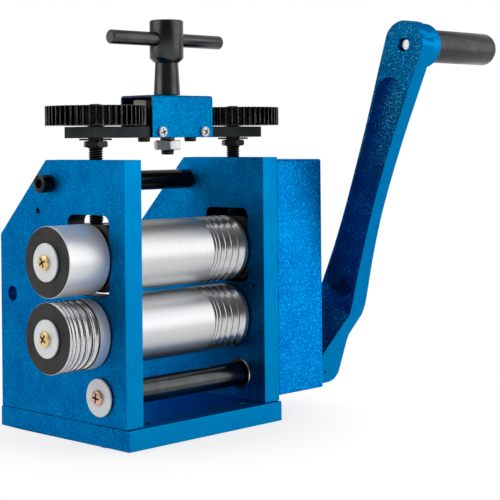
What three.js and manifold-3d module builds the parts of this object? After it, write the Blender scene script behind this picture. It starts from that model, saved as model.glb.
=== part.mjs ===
// A hand cranked rolling mill for a jeweller's bench, in millimetres with +Z up.
// The origin is the middle of the base plate's underside. +X runs along the rollers to the
// gear cover and the crank, and metal is fed in from -Y.
// Threads are left plain: a threaded piece has its outside diameter.

import * as THREE from 'three';
import { mergeVertices } from 'three/addons/utils/BufferGeometryUtils.js';
import Module from 'manifold-3d';

const wasm = await Module();
wasm.setup();

// Clearances
const seat = 0.3; // between pieces that rest on each other or fit in each other
const running = 0.25; // radial, round a shaft that turns
const thrust = 0.3; // end play beside a piece that turns
const cutterReach = 60; // how far a cutter stands out of what it passes through

// Rollers
const rollerDiameter = 45;
const rollerFace = 108;
const rollerEndGap = 0.5; // from a roller's end to the side plate
const restGap = 2;
const smallestGap = 0.1;
const largestGap = 7;
const journalDiameter = 22;
const stubDiameter = 16;
const stubFlat = 1.4; // depth of the flat that drives what sits on a stub
const rollerSides = 22;
const extensionLength = 31.7;
const extensionGap = 0.7; // from the left plate to the extension rollers
const wireGrooves = [2, 2.6, 4.5, 5, 5.6, 6.2]; // widths of the V grooves, for square wire
const wireGrooveLand = 0.6;
const wireGrooveEnd = 4; // plain band beside the last groove
const halfRoundGrooves = [1.6, 1.9, 2.9, 3.3, 4.5, 5.2]; // widths on the lower extension
const halfRoundLand = 0.7;

// Frame
const plateThickness = 14;
const plateHeight = 166;
const plateDepth = 128.5;
const plateChamfer = 50;
const plateEdge = 0.7;
const baseThickness = 13.2;
const baseDepth = 132;
const baseEdge = 0.8;
const plateFrontInset = 2.3;
const rollerInset = 35.5; // from the plates' front edges back to the roller axes
const lowerAxisHeight = 56.6; // above the bottom of the plates
const benchHoleDiameter = 6.5;
const benchHoleFromPlate = 10.3;
const benchHoleInset = 12.3; // from the front and back of the base
const tieRodDiameter = 14;
const tieRodDrop = 15.3; // below the top of the plates
const tieRodBack = 39.5; // behind the roller axes
const tieScrew = { shank: 8, head: 12, headHeight: 8, length: 36, socket: 6.6 };
const baseScrewHead = { bore: 13, depth: 8.6 }; // the screws' own threads end inside the plates
const baseScrewInset = 22; // from the plates' front and back edges
const oilHole = { diameter: 4, back: 51.9, aboveBase: 132.5 };
const sideHole = { diameter: 9.9, back: 80.5, aboveBase: 76.6 };

// Windows and sliding bearing blocks
const windowWidth = 40.7;
const windowCorner = 5.5;
const windowStop = 0.8; // left above and below a block at the ends of its travel
const blockAbove = 21.9; // from the roller axis to the top of a block
const blockBelow = 20.5;
const bushWall = 3;

// Gears of the rollers and of the crank
const longTeeth = 12;
const longToothReach = 4.1; // how far a long tooth stands past the roller's radius
const longToothRoot = 4.6;
const longToothThinning = 0.6;
const longToothFace = 16;
const driveModule = 1.5;
const drivePinionTeeth = 13;
const driveGearTeeth = 41;
const driveFace = 14;
const driveThinning = 0.3;
const driveShaftForward = 11; // in front of the roller axes
const driveShaftDiameter = 16;
const driveBush = { diameter: 21.4, collar: 0.9 };
const gearSpacing = 1.2; // between neighbours on one shaft
const retainingRing = { diameter: 22, thickness: 1.5 };

// Gear cover
const coverWidth = 44.5;
const coverDepth = 84; // takes in the drive gear and the right tie screw
const coverTopDrop = 2.1; // below the top of the plates
const coverBottomRise = 3; // above the bottom of the plates
const coverWall = 2;
const coverCorner = 5;
const coverChamferInset = 2; // inside the plates' chamfer
const coverBoss = 10;
const coverBossInset = 7.5;
const coverScrew = { shank: 5, head: 9, headHeight: 2.6, socket: 3.6 };
const coverScrewEngagement = 10; // in the right plate

// Crosshead over the plates, with its gears
const screwDiameter = 9.6;
const screwTopDiameter = 8;
const screwTopFlat = 0.9;
const screwButton = { diameter: 13, height: 2.4 };
const screwNeck = 7.6;
const barRise = 13.9; // from the plates up to the bar
const barLength = 151;
const barWidth = 28;
const barThickness = 7.2;
const barCorner = 1.6;
const handlePinionTeeth = 17;
const idlerTeeth = 16;
const sideGearTeeth = 49;
const screwGearFace = 12.4;
const screwGearThinning = 0.25;
const meshSlack = 0.125; // added to each centre distance of the screw gears
const gearLift = 0.8; // height of the collar that carries a side gear
const gearCollarDiameter = 11.6;
const lockWasher = { diameter: 21, thickness: 1.2 };
const lockNut = { flats: 14, height: 4.2 };
const idlerBolt = { shank: 8, headFlats: 13, headHeight: 4.6, below: 2.8 };
const bracketLength = 54;
const bracketHeight = 27.6;
const bracketSheet = 1.4;
const bracketBend = 2.2;
const bracketScrew = { spacing: 38, shank: 4, head: 6.8, headHeight: 1.9, length: 9 };

// T handle
const handleHub = { diameter: 22.5, height: 28.1, chamfer: 2.6 };
const handleStem = { top: 15.4, bottom: 17.6, height: 21.6 };
const handleNeck = 12; // where the spindle passes the bracket
const handleSpindle = 9.6; // inside the pinion and the bar
const handleFlat = 1;
const handleBar = { diameter: 9.5, length: 98, drop: 12.9 };
const handleNut = { flats: 16, height: 6.4, below: 1.8, thread: 3.2 };

// Crank
const crankLength = 240;
const crankLean = 20.6; // degrees from upright, leaning to the front
const crankHub = { radius: 17.5, thickness: 15.5 };
const crankGap = 4.2; // from the gear cover to the hub
const crankArm = { topRadius: 16.5, waist: 12, thickness: 12.5, offset: 14.5 };
const crankBend = { innerStart: 12, innerEnd: 43, outerStart: 24, outerEnd: 50 };
const crankPocket = { rim: 3.2, depth: 6, low: 57, high: 217 };
const crankBoss = { radius: 15.4, height: 10.5 };
const grip = { diameter: 23, length: 72, edge: 3 };
const gripStud = { diameter: 9, head: 15, headHeight: 5, recess: 6 };
const crankScrew = { diameter: 8, length: 9 };

// End washers and screws
const endWasher = { diameter: 24, thickness: 1.5 };
const endScrew = { shank: 5, head: 9.5, headHeight: 3, length: 14 };

// Places worked out from the sizes above
const plateGap = rollerFace + 2 * rollerEndGap;
const plateInner = plateGap / 2;
const plateOuter = plateInner + plateThickness;
const plateMiddle = plateInner + plateThickness / 2;
const plateBottom = baseThickness + seat;
const plateTop = plateBottom + plateHeight;
const frontEdge = -baseDepth / 2 + plateFrontInset;
const backEdge = frontEdge + plateDepth;
const rollerY = frontEdge + rollerInset;
const lowerAxis = plateBottom + lowerAxisHeight;
const upperAxis = lowerAxis + rollerDiameter + restGap;
const driveCentres = (driveModule * (drivePinionTeeth + driveGearTeeth)) / 2 + seat / 2;
const driveY = rollerY - driveShaftForward;
const driveAxis = lowerAxis - Math.sqrt(driveCentres ** 2 - driveShaftForward ** 2);
const windowTop = upperAxis + blockAbove + (largestGap - restGap) + windowStop;
const windowBottom = upperAxis - blockBelow - (restGap - smallestGap) - windowStop;
const extensionStart = plateOuter + extensionGap;
const extensionEnd = extensionStart + extensionLength;
const coverEnd = plateOuter + seat + coverWidth;
const coverBottom = plateBottom + coverBottomRise;
const coverTop = plateTop - coverTopDrop;
const rollerGearStart = plateOuter + gearSpacing;
const driveGearStart = rollerGearStart + longToothFace + gearSpacing;
const barBottom = plateTop + barRise;
const barTop = barBottom + barThickness;
const screwGearBottom = barTop + gearLift;
const screwGearTop = screwGearBottom + screwGearFace;
const teethAcross = handlePinionTeeth + 2 * idlerTeeth + sideGearTeeth;
const screwModule = (2 * (plateMiddle - 2 * meshSlack)) / teethAcross;
const idlerX = (screwModule * (handlePinionTeeth + idlerTeeth)) / 2 + meshSlack;
const bracketTop = barBottom + bracketHeight;
const stemBottom = bracketTop + 2 * thrust;
const hubBottom = stemBottom + handleStem.height;
const hubInner = coverEnd + crankGap;
const armInner = hubInner + crankArm.offset;
const armOuter = armInner + crankArm.thickness;

// Materials
const paint = { colour: 0x0078b8, roughness: 0.45, metalness: 0.2 };
const steel = { colour: 0xc9ccd0, roughness: 0.28, metalness: 1 };
const zinc = { colour: 0xe4e6e8, roughness: 0.4, metalness: 0.8 };
const brass = { colour: 0xd9bd63, roughness: 0.35, metalness: 1 };
const copper = { colour: 0xc78a6c, roughness: 0.35, metalness: 1 };
const bronze = { colour: 0xa9824f, roughness: 0.5, metalness: 1 };
const blackSteel = { colour: 0x141516, roughness: 0.35, metalness: 0.6 };
const gunmetal = { colour: 0x3c3f43, roughness: 0.3, metalness: 0.9 };
const plastic = { colour: 0x2a2b2d, roughness: 0.45, metalness: 0 };

const mill = new THREE.Group();

// Outlines, as lists of points
function arc(x, y, radius, from, to, steps) {
  const points = [];
  for (let step = 0; step <= steps; step += 1) {
    const angle = from + ((to - from) * step) / steps;
    points.push(new THREE.Vector2(x + radius * Math.cos(angle), y + radius * Math.sin(angle)));
  }
  return points;
}

function circle(x, y, radius, sides = 20) {
  return arc(x, y, radius, 0, 2 * Math.PI, sides).slice(0, sides);
}

// A hole's corners lie outside its radius, so that a round piece of that radius fits it.
function hole(x, y, diameter, clearance = seat, sides = 14) {
  return circle(x, y, (diameter / 2 + clearance) / Math.cos(Math.PI / sides), sides);
}

function roundedRectangle(left, bottom, right, top, radius, steps = 3) {
  const quarter = Math.PI / 2;
  return [
    ...arc(right - radius, bottom + radius, radius, -quarter, 0, steps),
    ...arc(right - radius, top - radius, radius, 0, quarter, steps),
    ...arc(left + radius, top - radius, radius, quarter, 2 * quarter, steps),
    ...arc(left + radius, bottom + radius, radius, 2 * quarter, 3 * quarter, steps),
  ];
}

function hexagon(flats) {
  return circle(0, 0, flats / 2 / Math.cos(Math.PI / 6), 6);
}

// A bore for a shaft with one flat, which drives it
function flattedBore(diameter, flat) {
  const steps = 14;
  const radius = (diameter / 2 + seat) / Math.cos(Math.PI / steps);
  const flatAngle = Math.acos((diameter / 2 - flat + seat) / radius);
  return arc(0, 0, radius, flatAngle, 2 * Math.PI - flatAngle, steps);
}

// Solids. A prism stands on z = 0, and a turned solid has its profile's height along z.
function prism(outline, height, bore = [], edge = 0) {
  const shape = new THREE.Shape(outline);
  if (bore.length > 0) shape.holes = [new THREE.Path(bore)];
  const geometry = new THREE.ExtrudeGeometry(shape, {
    depth: height - 2 * edge,
    bevelEnabled: edge > 0,
    bevelThickness: edge,
    bevelSize: edge,
    bevelOffset: -edge,
    bevelSegments: 1,
  });
  return geometry.translate(0, 0, edge);
}

const uprightToZ = new THREE.Matrix4().makeBasis(
  new THREE.Vector3(0, 1, 0),
  new THREE.Vector3(0, 0, 1),
  new THREE.Vector3(1, 0, 0),
);

function turned(profile, sides = 14) {
  const points = profile.map(([radius, height]) => new THREE.Vector2(radius, height));
  return new THREE.LatheGeometry(points, sides).applyMatrix4(uprightToZ);
}

function shaft(diameter, from, to, edge = 0, sides = 14) {
  const radius = diameter / 2;
  const profile = [[0, from], [radius - edge, from]];
  if (edge > 0) profile.push([radius, from + edge], [radius, to - edge]);
  profile.push([radius - edge, to], [0, to]);
  return turned(profile, sides);
}

function ring(outer, inner, from, to, clearance = seat, sides = 14) {
  const bore = (inner / 2 + clearance) / Math.cos(Math.PI / sides);
  const radius = outer / 2;
  return turned([[bore, from], [radius, from], [radius, to], [bore, to], [bore, from]], sides);
}

function headedScrew({ shank, head, headHeight, length, socket }) {
  const radius = head / 2;
  const edge = headHeight / 5;
  const profile = [[0, -length], [shank / 2, -length], [shank / 2, 0], [radius, 0]];
  profile.push([radius, headHeight - edge], [radius - edge, headHeight]);
  if (socket) profile.push([socket / 2, headHeight], [socket / 2, headHeight / 2], [0, headHeight / 2]);
  else profile.push([0, headHeight]);
  return turned(profile, 10);
}

// Turns a solid made along z so that it lies along x, with its x to y and its y to z.
function alongX(geometry) {
  return geometry.applyMatrix4(uprightToZ);
}

// Faces the other way along x, for what goes on the left end of a roller.
function alongMinusX(geometry) {
  return alongX(geometry).rotateZ(Math.PI);
}

function toManifold(geometry) {
  const bare = geometry.clone();
  bare.deleteAttribute('normal');
  bare.deleteAttribute('uv');
  const merged = mergeVertices(bare, 1e-4);
  const index = merged.index.array;
  const corners = [];
  for (let at = 0; at < index.length; at += 3) {
    const [a, b, c] = [index[at], index[at + 1], index[at + 2]];
    if (a !== b && b !== c && c !== a) corners.push(a, b, c);
  }
  const vertProperties = Float32Array.from(merged.attributes.position.array);
  const triVerts = Uint32Array.from(corners);
  return new wasm.Manifold(new wasm.Mesh({ numProp: 3, vertProperties, triVerts }));
}

function fromManifold(manifold) {
  const mesh = manifold.getMesh();
  const geometry = new THREE.BufferGeometry();
  geometry.setAttribute('position', new THREE.BufferAttribute(mesh.vertProperties, 3));
  geometry.setIndex(new THREE.BufferAttribute(mesh.triVerts, 1));
  const flat = geometry.toNonIndexed();
  flat.computeVertexNormals();
  return flat;
}

function cut(geometry, ...tools) {
  return fromManifold(tools.reduce((left, tool) => left.subtract(toManifold(tool)), toManifold(geometry)));
}

function join(geometry, ...others) {
  return fromManifold(others.reduce((sum, other) => sum.add(toManifold(other)), toManifold(geometry)));
}

function common(geometry, other) {
  return fromManifold(toManifold(geometry).intersect(toManifold(other)));
}

function add(group, name, geometry, look) {
  const material = new THREE.MeshStandardMaterial({
    color: look.colour,
    roughness: look.roughness,
    metalness: look.metalness,
  });
  const mesh = new THREE.Mesh(geometry, material);
  mesh.name = name;
  group.add(mesh);
}

function groupAt(x, y, z) {
  const group = new THREE.Group();
  group.position.set(x, y, z);
  mill.add(group);
  return group;
}

// Gears. A flank is an involute, drawn straight between the radii that are given.
const pressureAngle = (20 * Math.PI) / 180;

function involute(angle) {
  return Math.tan(angle) - angle;
}

function gearOutline({ teeth, pitchRadius, tip, root, thinning, phase, flankRadii = [] }) {
  const base = pitchRadius * Math.cos(pressureAngle);
  const atPitch = Math.PI / (2 * teeth) - thinning / (2 * pitchRadius);
  const halfWidth = (radius) => {
    const turn = Math.acos(Math.min(1, base / Math.max(radius, base)));
    return atPitch + involute(pressureAngle) - involute(turn);
  };
  const flank = [root, ...flankRadii, tip];
  const points = [];
  for (let tooth = 0; tooth < teeth; tooth += 1) {
    const middle = phase + (2 * Math.PI * tooth) / teeth;
    for (const side of [-1, 1]) {
      const radii = side < 0 ? flank : [...flank].reverse();
      for (const radius of radii) {
        const angle = middle + side * halfWidth(radius);
        points.push(new THREE.Vector2(radius * Math.cos(angle), radius * Math.sin(angle)));
      }
    }
  }
  return points;
}

function standardGear(teeth, module, thinning, phase) {
  const pitchRadius = (teeth * module) / 2;
  const tip = pitchRadius + module;
  const root = pitchRadius - 1.25 * module;
  return gearOutline({ teeth, pitchRadius, tip, root, thinning, phase });
}

// The phase of a gear that meshes with its neighbour, which lies in the given direction back.
function meshedPhase(neighbourPhase, neighbourTeeth, teeth, direction) {
  const turn = ((neighbourPhase - direction) * neighbourTeeth) / teeth;
  return direction + Math.PI - turn + Math.PI / teeth;
}

// Base plate, with counterbores below for the heads of the screws that hold the side plates
function buildBase() {
  const half = plateOuter;
  const outline = roundedRectangle(-half, -baseDepth / 2, half, baseDepth / 2, 1.5, 1);
  const benchX = plateInner - benchHoleFromPlate;
  const benchY = baseDepth / 2 - benchHoleInset;
  const bores = [];
  for (const x of [-benchX, benchX]) {
    for (const y of [-benchY, benchY]) bores.push(through(hole(x, y, benchHoleDiameter, 0, 12)));
  }
  for (const x of [-plateMiddle, plateMiddle]) {
    for (const y of [frontEdge + baseScrewInset, backEdge - baseScrewInset]) {
      const counterbore = prism(hole(x, y, baseScrewHead.bore, seat, 12), baseScrewHead.depth + 1);
      bores.push(counterbore.translate(0, 0, -1));
    }
  }
  add(mill, 'base_plate', cut(prism(outline, baseThickness, [], baseEdge), ...bores), paint);
}

// A cutter along z that passes wholly through what stands on z = 0.
function through(outline) {
  return prism(outline, 2 * cutterReach).translate(0, 0, -cutterReach);
}

// A side plate is drawn in its own y and z, seen along x, and then set at its place in x.
function buildSidePlate(name, left) {
  const outline = [
    new THREE.Vector2(frontEdge, plateBottom),
    new THREE.Vector2(backEdge, plateBottom),
    new THREE.Vector2(backEdge, plateTop - plateChamfer),
    new THREE.Vector2(backEdge - plateChamfer, plateTop),
    new THREE.Vector2(frontEdge, plateTop),
  ];
  const [front, back] = [rollerY - windowWidth / 2, rollerY + windowWidth / 2];
  const openings = [
    roundedRectangle(front, windowBottom, back, windowTop, windowCorner),
    hole(rollerY, lowerAxis, journalDiameter + 2 * bushWall),
    hole(driveY, driveAxis, driveBush.diameter),
    hole(rollerY + tieRodBack, plateTop - tieRodDrop, tieScrew.shank, seat, 12),
    hole(rollerY + oilHole.back, plateBottom + oilHole.aboveBase, oilHole.diameter, 0, 8),
    hole(rollerY + sideHole.back, plateBottom + sideHole.aboveBase, sideHole.diameter, 0, 12),
  ];
  const tools = openings.map((points) => alongX(through(points)));
  const body = alongX(prism(outline, plateThickness, [], plateEdge));
  const middle = plateThickness / 2;
  const screwBore = prism(hole(middle, rollerY, screwDiameter), plateTop - windowTop + 2);
  tools.push(screwBore.translate(0, 0, windowTop - 1));
  if (left > 0) tools.push(...coverScrewBores());
  add(mill, name, cut(body, ...tools).translate(left, 0, 0), paint);
}

// The rod between the plates has a blind thread at each end for its screw.
function buildTieRod() {
  const half = plateGap / 2 - seat;
  const threadDepth = tieScrew.length - plateThickness + 2;
  const bore = tieScrew.shank / 2 + seat;
  const radius = tieRodDiameter / 2;
  const rod = turned([
    [0, -half + threadDepth], [bore, -half + threadDepth], [bore, -half], [radius, -half],
    [radius, half], [bore, half], [bore, half - threadDepth], [0, half - threadDepth],
  ]);
  const group = groupAt(0, rollerY + tieRodBack, plateTop - tieRodDrop);
  add(group, 'upper_tie_rod', alongX(rod), blackSteel);
  const face = plateOuter + seat;
  add(group, 'left_tie_screw', alongMinusX(headedScrew(tieScrew)).translate(-face, 0, 0), blackSteel);
  add(group, 'right_tie_screw', alongX(headedScrew(tieScrew)).translate(face, 0, 0), blackSteel);
}

// Plain bushes for the journals, in the plates and in the blocks, and for the drive shaft
function journalBush() {
  const outer = journalDiameter + 2 * bushWall;
  return ring(outer, journalDiameter, seat, plateThickness - seat, running);
}

function driveBushSolid() {
  const { diameter, collar } = driveBush;
  return ring(diameter, driveShaftDiameter, -collar, plateThickness - collar, running);
}

function buildFixedBushes() {
  const lower = groupAt(0, rollerY, lowerAxis);
  add(lower, 'left_lower_bush', alongMinusX(journalBush()).translate(-plateInner, 0, 0), bronze);
  add(lower, 'right_lower_bush', alongX(journalBush()).translate(plateInner, 0, 0), bronze);
  const drive = groupAt(0, driveY, driveAxis);
  add(drive, 'left_drive_bush', alongMinusX(driveBushSolid()).translate(-plateInner, 0, 0), zinc);
  add(drive, 'right_drive_bush', alongX(driveBushSolid()).translate(plateInner, 0, 0), zinc);
}

// A bearing block slides in its window. A slot in its top holds the button of the screw.
function bearingBlock() {
  const half = windowWidth / 2 - seat;
  const thickness = plateThickness - 2 * seat;
  const outline = roundedRectangle(-half, -blockBelow, half, blockAbove, windowCorner, 3);
  const body = alongX(prism(outline, thickness, hole(0, 0, journalDiameter + 2 * bushWall)));
  const neckHalf = screwNeck / 2 + seat;
  const buttonHalf = screwButton.diameter / 2 + seat;
  const lip = (blockAbove - journalDiameter / 2 - bushWall) * 0.36;
  const length = thickness + 2;
  const neckSlot = new THREE.BoxGeometry(length, 2 * neckHalf, 2 * lip);
  neckSlot.translate(thickness / 2, 0, blockAbove);
  const buttonSlot = new THREE.BoxGeometry(length, 2 * buttonHalf, screwButton.height + 2 * seat);
  buttonSlot.translate(thickness / 2, 0, blockAbove - lip - screwButton.height / 2);
  return { geometry: cut(body, neckSlot, buttonSlot).translate(-thickness / 2, 0, 0), lip };
}

function buildUpperBlocks() {
  const group = groupAt(0, rollerY, upperAxis);
  for (const [side, x] of [['left', -plateMiddle], ['right', plateMiddle]]) {
    add(group, `${side}_bearing_block`, bearingBlock().geometry.translate(x, 0, 0), blackSteel);
  }
  add(group, 'left_upper_bush', alongMinusX(journalBush()).translate(-plateInner, 0, 0), bronze);
  add(group, 'right_upper_bush', alongX(journalBush()).translate(plateInner, 0, 0), bronze);
}

// Main roller: plain for sheet on the left, with V grooves for square wire on the right
function wireGrooveProfile() {
  const radius = rollerDiameter / 2;
  const lands = (wireGrooves.length - 1) * wireGrooveLand;
  const total = wireGrooves.reduce((sum, width) => sum + width, lands);
  let x = rollerFace / 2 - wireGrooveEnd - total;
  const profile = [];
  for (const width of wireGrooves) {
    profile.push([radius, x], [radius - width / 2, x + width / 2], [radius, x + width]);
    x += width + wireGrooveLand;
  }
  return profile;
}

function mainRoller(rightEnd) {
  const face = rollerFace / 2;
  const body = rollerDiameter / 2;
  const journal = journalDiameter / 2;
  const stub = stubDiameter / 2;
  const leftShoulder = seat - extensionStart;
  const rightShoulder = rollerGearStart - seat;
  const leftEnd = -extensionEnd + 2 * seat;
  const threadEnd = leftEnd + endScrew.length;
  const thread = endScrew.shank / 2 + seat;
  const roller = alongX(turned([
    [0, threadEnd], [thread, threadEnd], [thread, leftEnd], [stub, leftEnd],
    [stub, leftShoulder], [journal, leftShoulder], [journal, -face], [body, -face],
    ...wireGrooveProfile(), [body, face], [journal, face],
    [journal, rightShoulder], [stub, rightShoulder], [stub, rightEnd], [0, rightEnd],
  ], rollerSides));
  const flatTool = (from, to) => {
    const tool = new THREE.BoxGeometry(to - from, stubDiameter, stubDiameter);
    return tool.translate((from + to) / 2, stub - stubFlat + stub, 0);
  };
  return cut(roller, flatTool(leftEnd - 1, -extensionStart), flatTool(rollerGearStart, rightEnd + 1));
}

// The half round grooves of the lower extension widen from its free end to the plate.
function halfRoundProfile() {
  const radius = rollerDiameter / 2;
  let x = halfRoundLand;
  const profile = [];
  for (const width of halfRoundGrooves) {
    const half = width / 2;
    profile.push(...arc(radius, x + half, half, 1.5 * Math.PI, 0.5 * Math.PI, 3));
    x += width + halfRoundLand;
  }
  return profile.map((point) => [point.x, point.y]);
}

// Drawn from its free end to the plate, round a socket for the flatted stub
function extensionRoller(grooves) {
  const [radius, length] = [rollerDiameter / 2, extensionLength];
  const body = turned([
    [0, 0], [radius, 0], ...grooves, [radius, length], [0, length],
  ], rollerSides);
  const socket = prism(flattedBore(stubDiameter, stubFlat), length + 2).translate(0, 0, -1);
  return alongX(cut(body, socket)).translate(-extensionEnd, 0, 0);
}

function stubGear(outline, face, start) {
  return alongX(prism(outline, face, flattedBore(stubDiameter, stubFlat))).translate(start, 0, 0);
}

function longToothGear(phase) {
  return gearOutline({
    teeth: longTeeth,
    pitchRadius: rollerDiameter / 2,
    tip: rollerDiameter / 2 + longToothReach,
    root: rollerDiameter / 2 - longToothRoot,
    thinning: longToothThinning,
    phase,
    flankRadii: [rollerDiameter / 2 - 1, rollerDiameter / 2 + 1.6],
  });
}

function retaining(start) {
  const { diameter, thickness } = retainingRing;
  return alongX(ring(diameter, stubDiameter, start, start + thickness, seat));
}

function leftEndPieces(group, name, washerX, washerLook, screwLook) {
  const washer = ring(endWasher.diameter, endScrew.shank, 0, endWasher.thickness);
  add(group, `${name}_end_washer`, alongMinusX(washer).translate(washerX, 0, 0), washerLook);
  const screwX = washerX - endWasher.thickness - seat;
  const screw = headedScrew({ ...endScrew, length: endScrew.length - 2 });
  add(group, `${name}_end_screw`, alongMinusX(screw).translate(screwX, 0, 0), screwLook);
}

const upPhase = Math.PI / 2; // a tooth of the lower long gear points straight up

function buildUpperRoller() {
  const gearEnd = rollerGearStart + longToothFace;
  const ringStart = gearEnd + seat;
  const group = groupAt(0, rollerY, upperAxis);
  add(group, 'upper_main_roller', mainRoller(ringStart + retainingRing.thickness + seat), steel);
  const gap = meshedPhase(upPhase, longTeeth, longTeeth, Math.PI / 2);
  add(group, 'upper_roller_gear', stubGear(longToothGear(gap), longToothFace, rollerGearStart), blackSteel);
  add(group, 'upper_retaining_ring', retaining(ringStart), steel);
  add(group, 'upper_extension_roller', extensionRoller([]), steel);
  leftEndPieces(group, 'upper', -extensionEnd - seat, zinc, brass);
}

// Direction in the y and z plane from the lower roller to the drive shaft
const toDriveShaft = Math.atan2(driveAxis - lowerAxis, driveY - rollerY);

function buildLowerRoller() {
  const gearEnd = driveGearStart + driveFace;
  const ringStart = gearEnd + seat;
  const group = groupAt(0, rollerY, lowerAxis);
  add(group, 'lower_main_roller', mainRoller(ringStart + retainingRing.thickness + seat), steel);
  const longGear = stubGear(longToothGear(upPhase), longToothFace, rollerGearStart);
  add(group, 'lower_roller_gear', longGear, blackSteel);
  const wheel = standardGear(driveGearTeeth, driveModule, driveThinning, toDriveShaft);
  add(group, 'drive_gear', stubGear(wheel, driveFace, driveGearStart), blackSteel);
  add(group, 'lower_retaining_ring', retaining(ringStart), steel);
  add(group, 'lower_extension_roller', extensionRoller(halfRoundProfile()), steel);
  leftEndPieces(group, 'lower', -extensionEnd - seat, zinc, brass);
}

// Drive shaft across both plates. Its pinion is cut on it, behind the cover.
function buildDriveShaft() {
  const leftEnd = -plateOuter - thrust;
  const rightEnd = hubInner + crankHub.thickness - 0.5;
  const threadEnd = leftEnd + endScrew.length;
  const radius = driveShaftDiameter / 2;
  const thread = endScrew.shank / 2 + seat;
  const rod = alongX(turned([
    [0, threadEnd], [thread, threadEnd], [thread, leftEnd], [radius, leftEnd],
    [radius, rightEnd - 0.8], [radius - 0.8, rightEnd], [0, rightEnd],
  ]));
  const phase = meshedPhase(toDriveShaft, driveGearTeeth, drivePinionTeeth, toDriveShaft);
  const outline = standardGear(drivePinionTeeth, driveModule, driveThinning, phase);
  const pinion = alongX(prism(outline, driveFace)).translate(driveGearStart, 0, 0);
  const flatLength = rightEnd - hubInner + 1;
  const flatTool = new THREE.BoxGeometry(flatLength + 1, 2 * radius, 2 * radius);
  flatTool.translate(rightEnd + 1 - (flatLength + 1) / 2, 2 * radius - stubFlat, 0);
  const group = groupAt(0, driveY, driveAxis);
  add(group, 'drive_pinion_shaft', cut(join(rod, pinion), flatTool), blackSteel);
  leftEndPieces(group, 'drive', leftEnd - seat, zinc, copper);
}

// The cover is a tray that opens to the right plate. Its bosses take screws into the plate.
function coverScrewPlaces() {
  const [front, back] = [frontEdge + coverBossInset, frontEdge + coverDepth - coverBossInset];
  return [[front, coverTop - coverBossInset], [back, coverBottom + coverBossInset]];
}

function coverScrewBores() {
  const start = plateThickness - coverScrewEngagement - seat;
  return coverScrewPlaces().map(([y, z]) => {
    return alongX(prism(hole(y, z, coverScrew.shank, seat, 10), plateThickness)).translate(start, 0, 0);
  });
}

// Its upper back corner follows the chamfer of the plates.
function coverOutline(inset) {
  const [front, back] = [frontEdge + inset, frontEdge + coverDepth - inset];
  const [bottom, top] = [coverBottom + inset, coverTop - inset];
  const radius = coverCorner - inset;
  const chamferSum = backEdge - plateChamfer + plateTop - Math.SQRT2 * (coverChamferInset + inset);
  const quarter = Math.PI / 2;
  return [
    ...arc(back - radius, bottom + radius, radius, -quarter, 0, 3),
    new THREE.Vector2(back, chamferSum - back),
    new THREE.Vector2(chamferSum - top, top),
    ...arc(front + radius, top - radius, radius, quarter, 2 * quarter, 3),
    ...arc(front + radius, bottom + radius, radius, 2 * quarter, 3 * quarter, 3),
  ];
}

function buildGearCover() {
  const tray = alongX(prism(coverOutline(0), coverWidth));
  const hollow = alongX(prism(coverOutline(coverWall), coverWidth - coverWall + 1)).translate(-1, 0, 0);
  const shaftHole = alongX(through(hole(driveY, driveAxis, driveShaftDiameter, 2 * running)));
  const bosses = coverScrewPlaces().map(([y, z]) => {
    return alongX(prism(circle(y, z, coverBoss / 2, 12), coverWidth - 1));
  });
  const bores = coverScrewPlaces().map(([y, z]) => alongX(through(hole(y, z, coverScrew.shank, seat, 10))));
  const body = cut(join(cut(tray, hollow), ...bosses), shaftHole, ...bores);
  const group = groupAt(plateOuter + seat, 0, 0);
  add(group, 'gear_cover', body, paint);
  const length = coverWidth + coverScrewEngagement;
  coverScrewPlaces().forEach(([y, z], at) => {
    const screw = alongX(headedScrew({ ...coverScrew, length })).translate(coverWidth + seat, y, z);
    add(group, at === 0 ? 'upper_cover_screw' : 'lower_cover_screw', screw, blackSteel);
  });
}

// Crosshead: a flat bar that carries the handle's pinion, the idlers and the side gears
function buildCrosshead() {
  const [halfLength, halfWidth] = [barLength / 2, barWidth / 2];
  const outline = roundedRectangle(-halfLength, -halfWidth, halfLength, halfWidth, barCorner, 1);
  const bores = [
    through(hole(-plateMiddle, 0, screwDiameter)),
    through(hole(-idlerX, 0, idlerBolt.shank, seat, 12)),
    through(hole(0, 0, handleSpindle)),
    through(hole(idlerX, 0, idlerBolt.shank, seat, 12)),
    through(hole(plateMiddle, 0, screwDiameter)),
  ];
  for (const [, x, side] of bracketScrewPlaces()) {
    const bore = prism(hole(0, 0, bracketScrew.shank, seat, 8), bracketScrew.length);
    bore.rotateX((side * Math.PI) / 2);
    bores.push(bore.translate(x, side * (halfWidth + 1), barThickness / 2));
  }
  const group = groupAt(0, rollerY, barBottom);
  add(group, 'crosshead_bar', cut(prism(outline, barThickness, [], 0.4), ...bores), gunmetal);
  buildBracket(group);
  for (const [side, x] of [['left', -idlerX], ['right', idlerX]]) {
    add(group, `${side}_idler_bolt`, idlerBoltSolid().translate(x, 0, 0), zinc);
  }
}

function bracketScrewPlaces() {
  const half = bracketScrew.spacing / 2;
  return [
    ['front_left', -half, -1], ['front_right', half, -1],
    ['back_left', -half, 1], ['back_right', half, 1],
  ];
}

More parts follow.
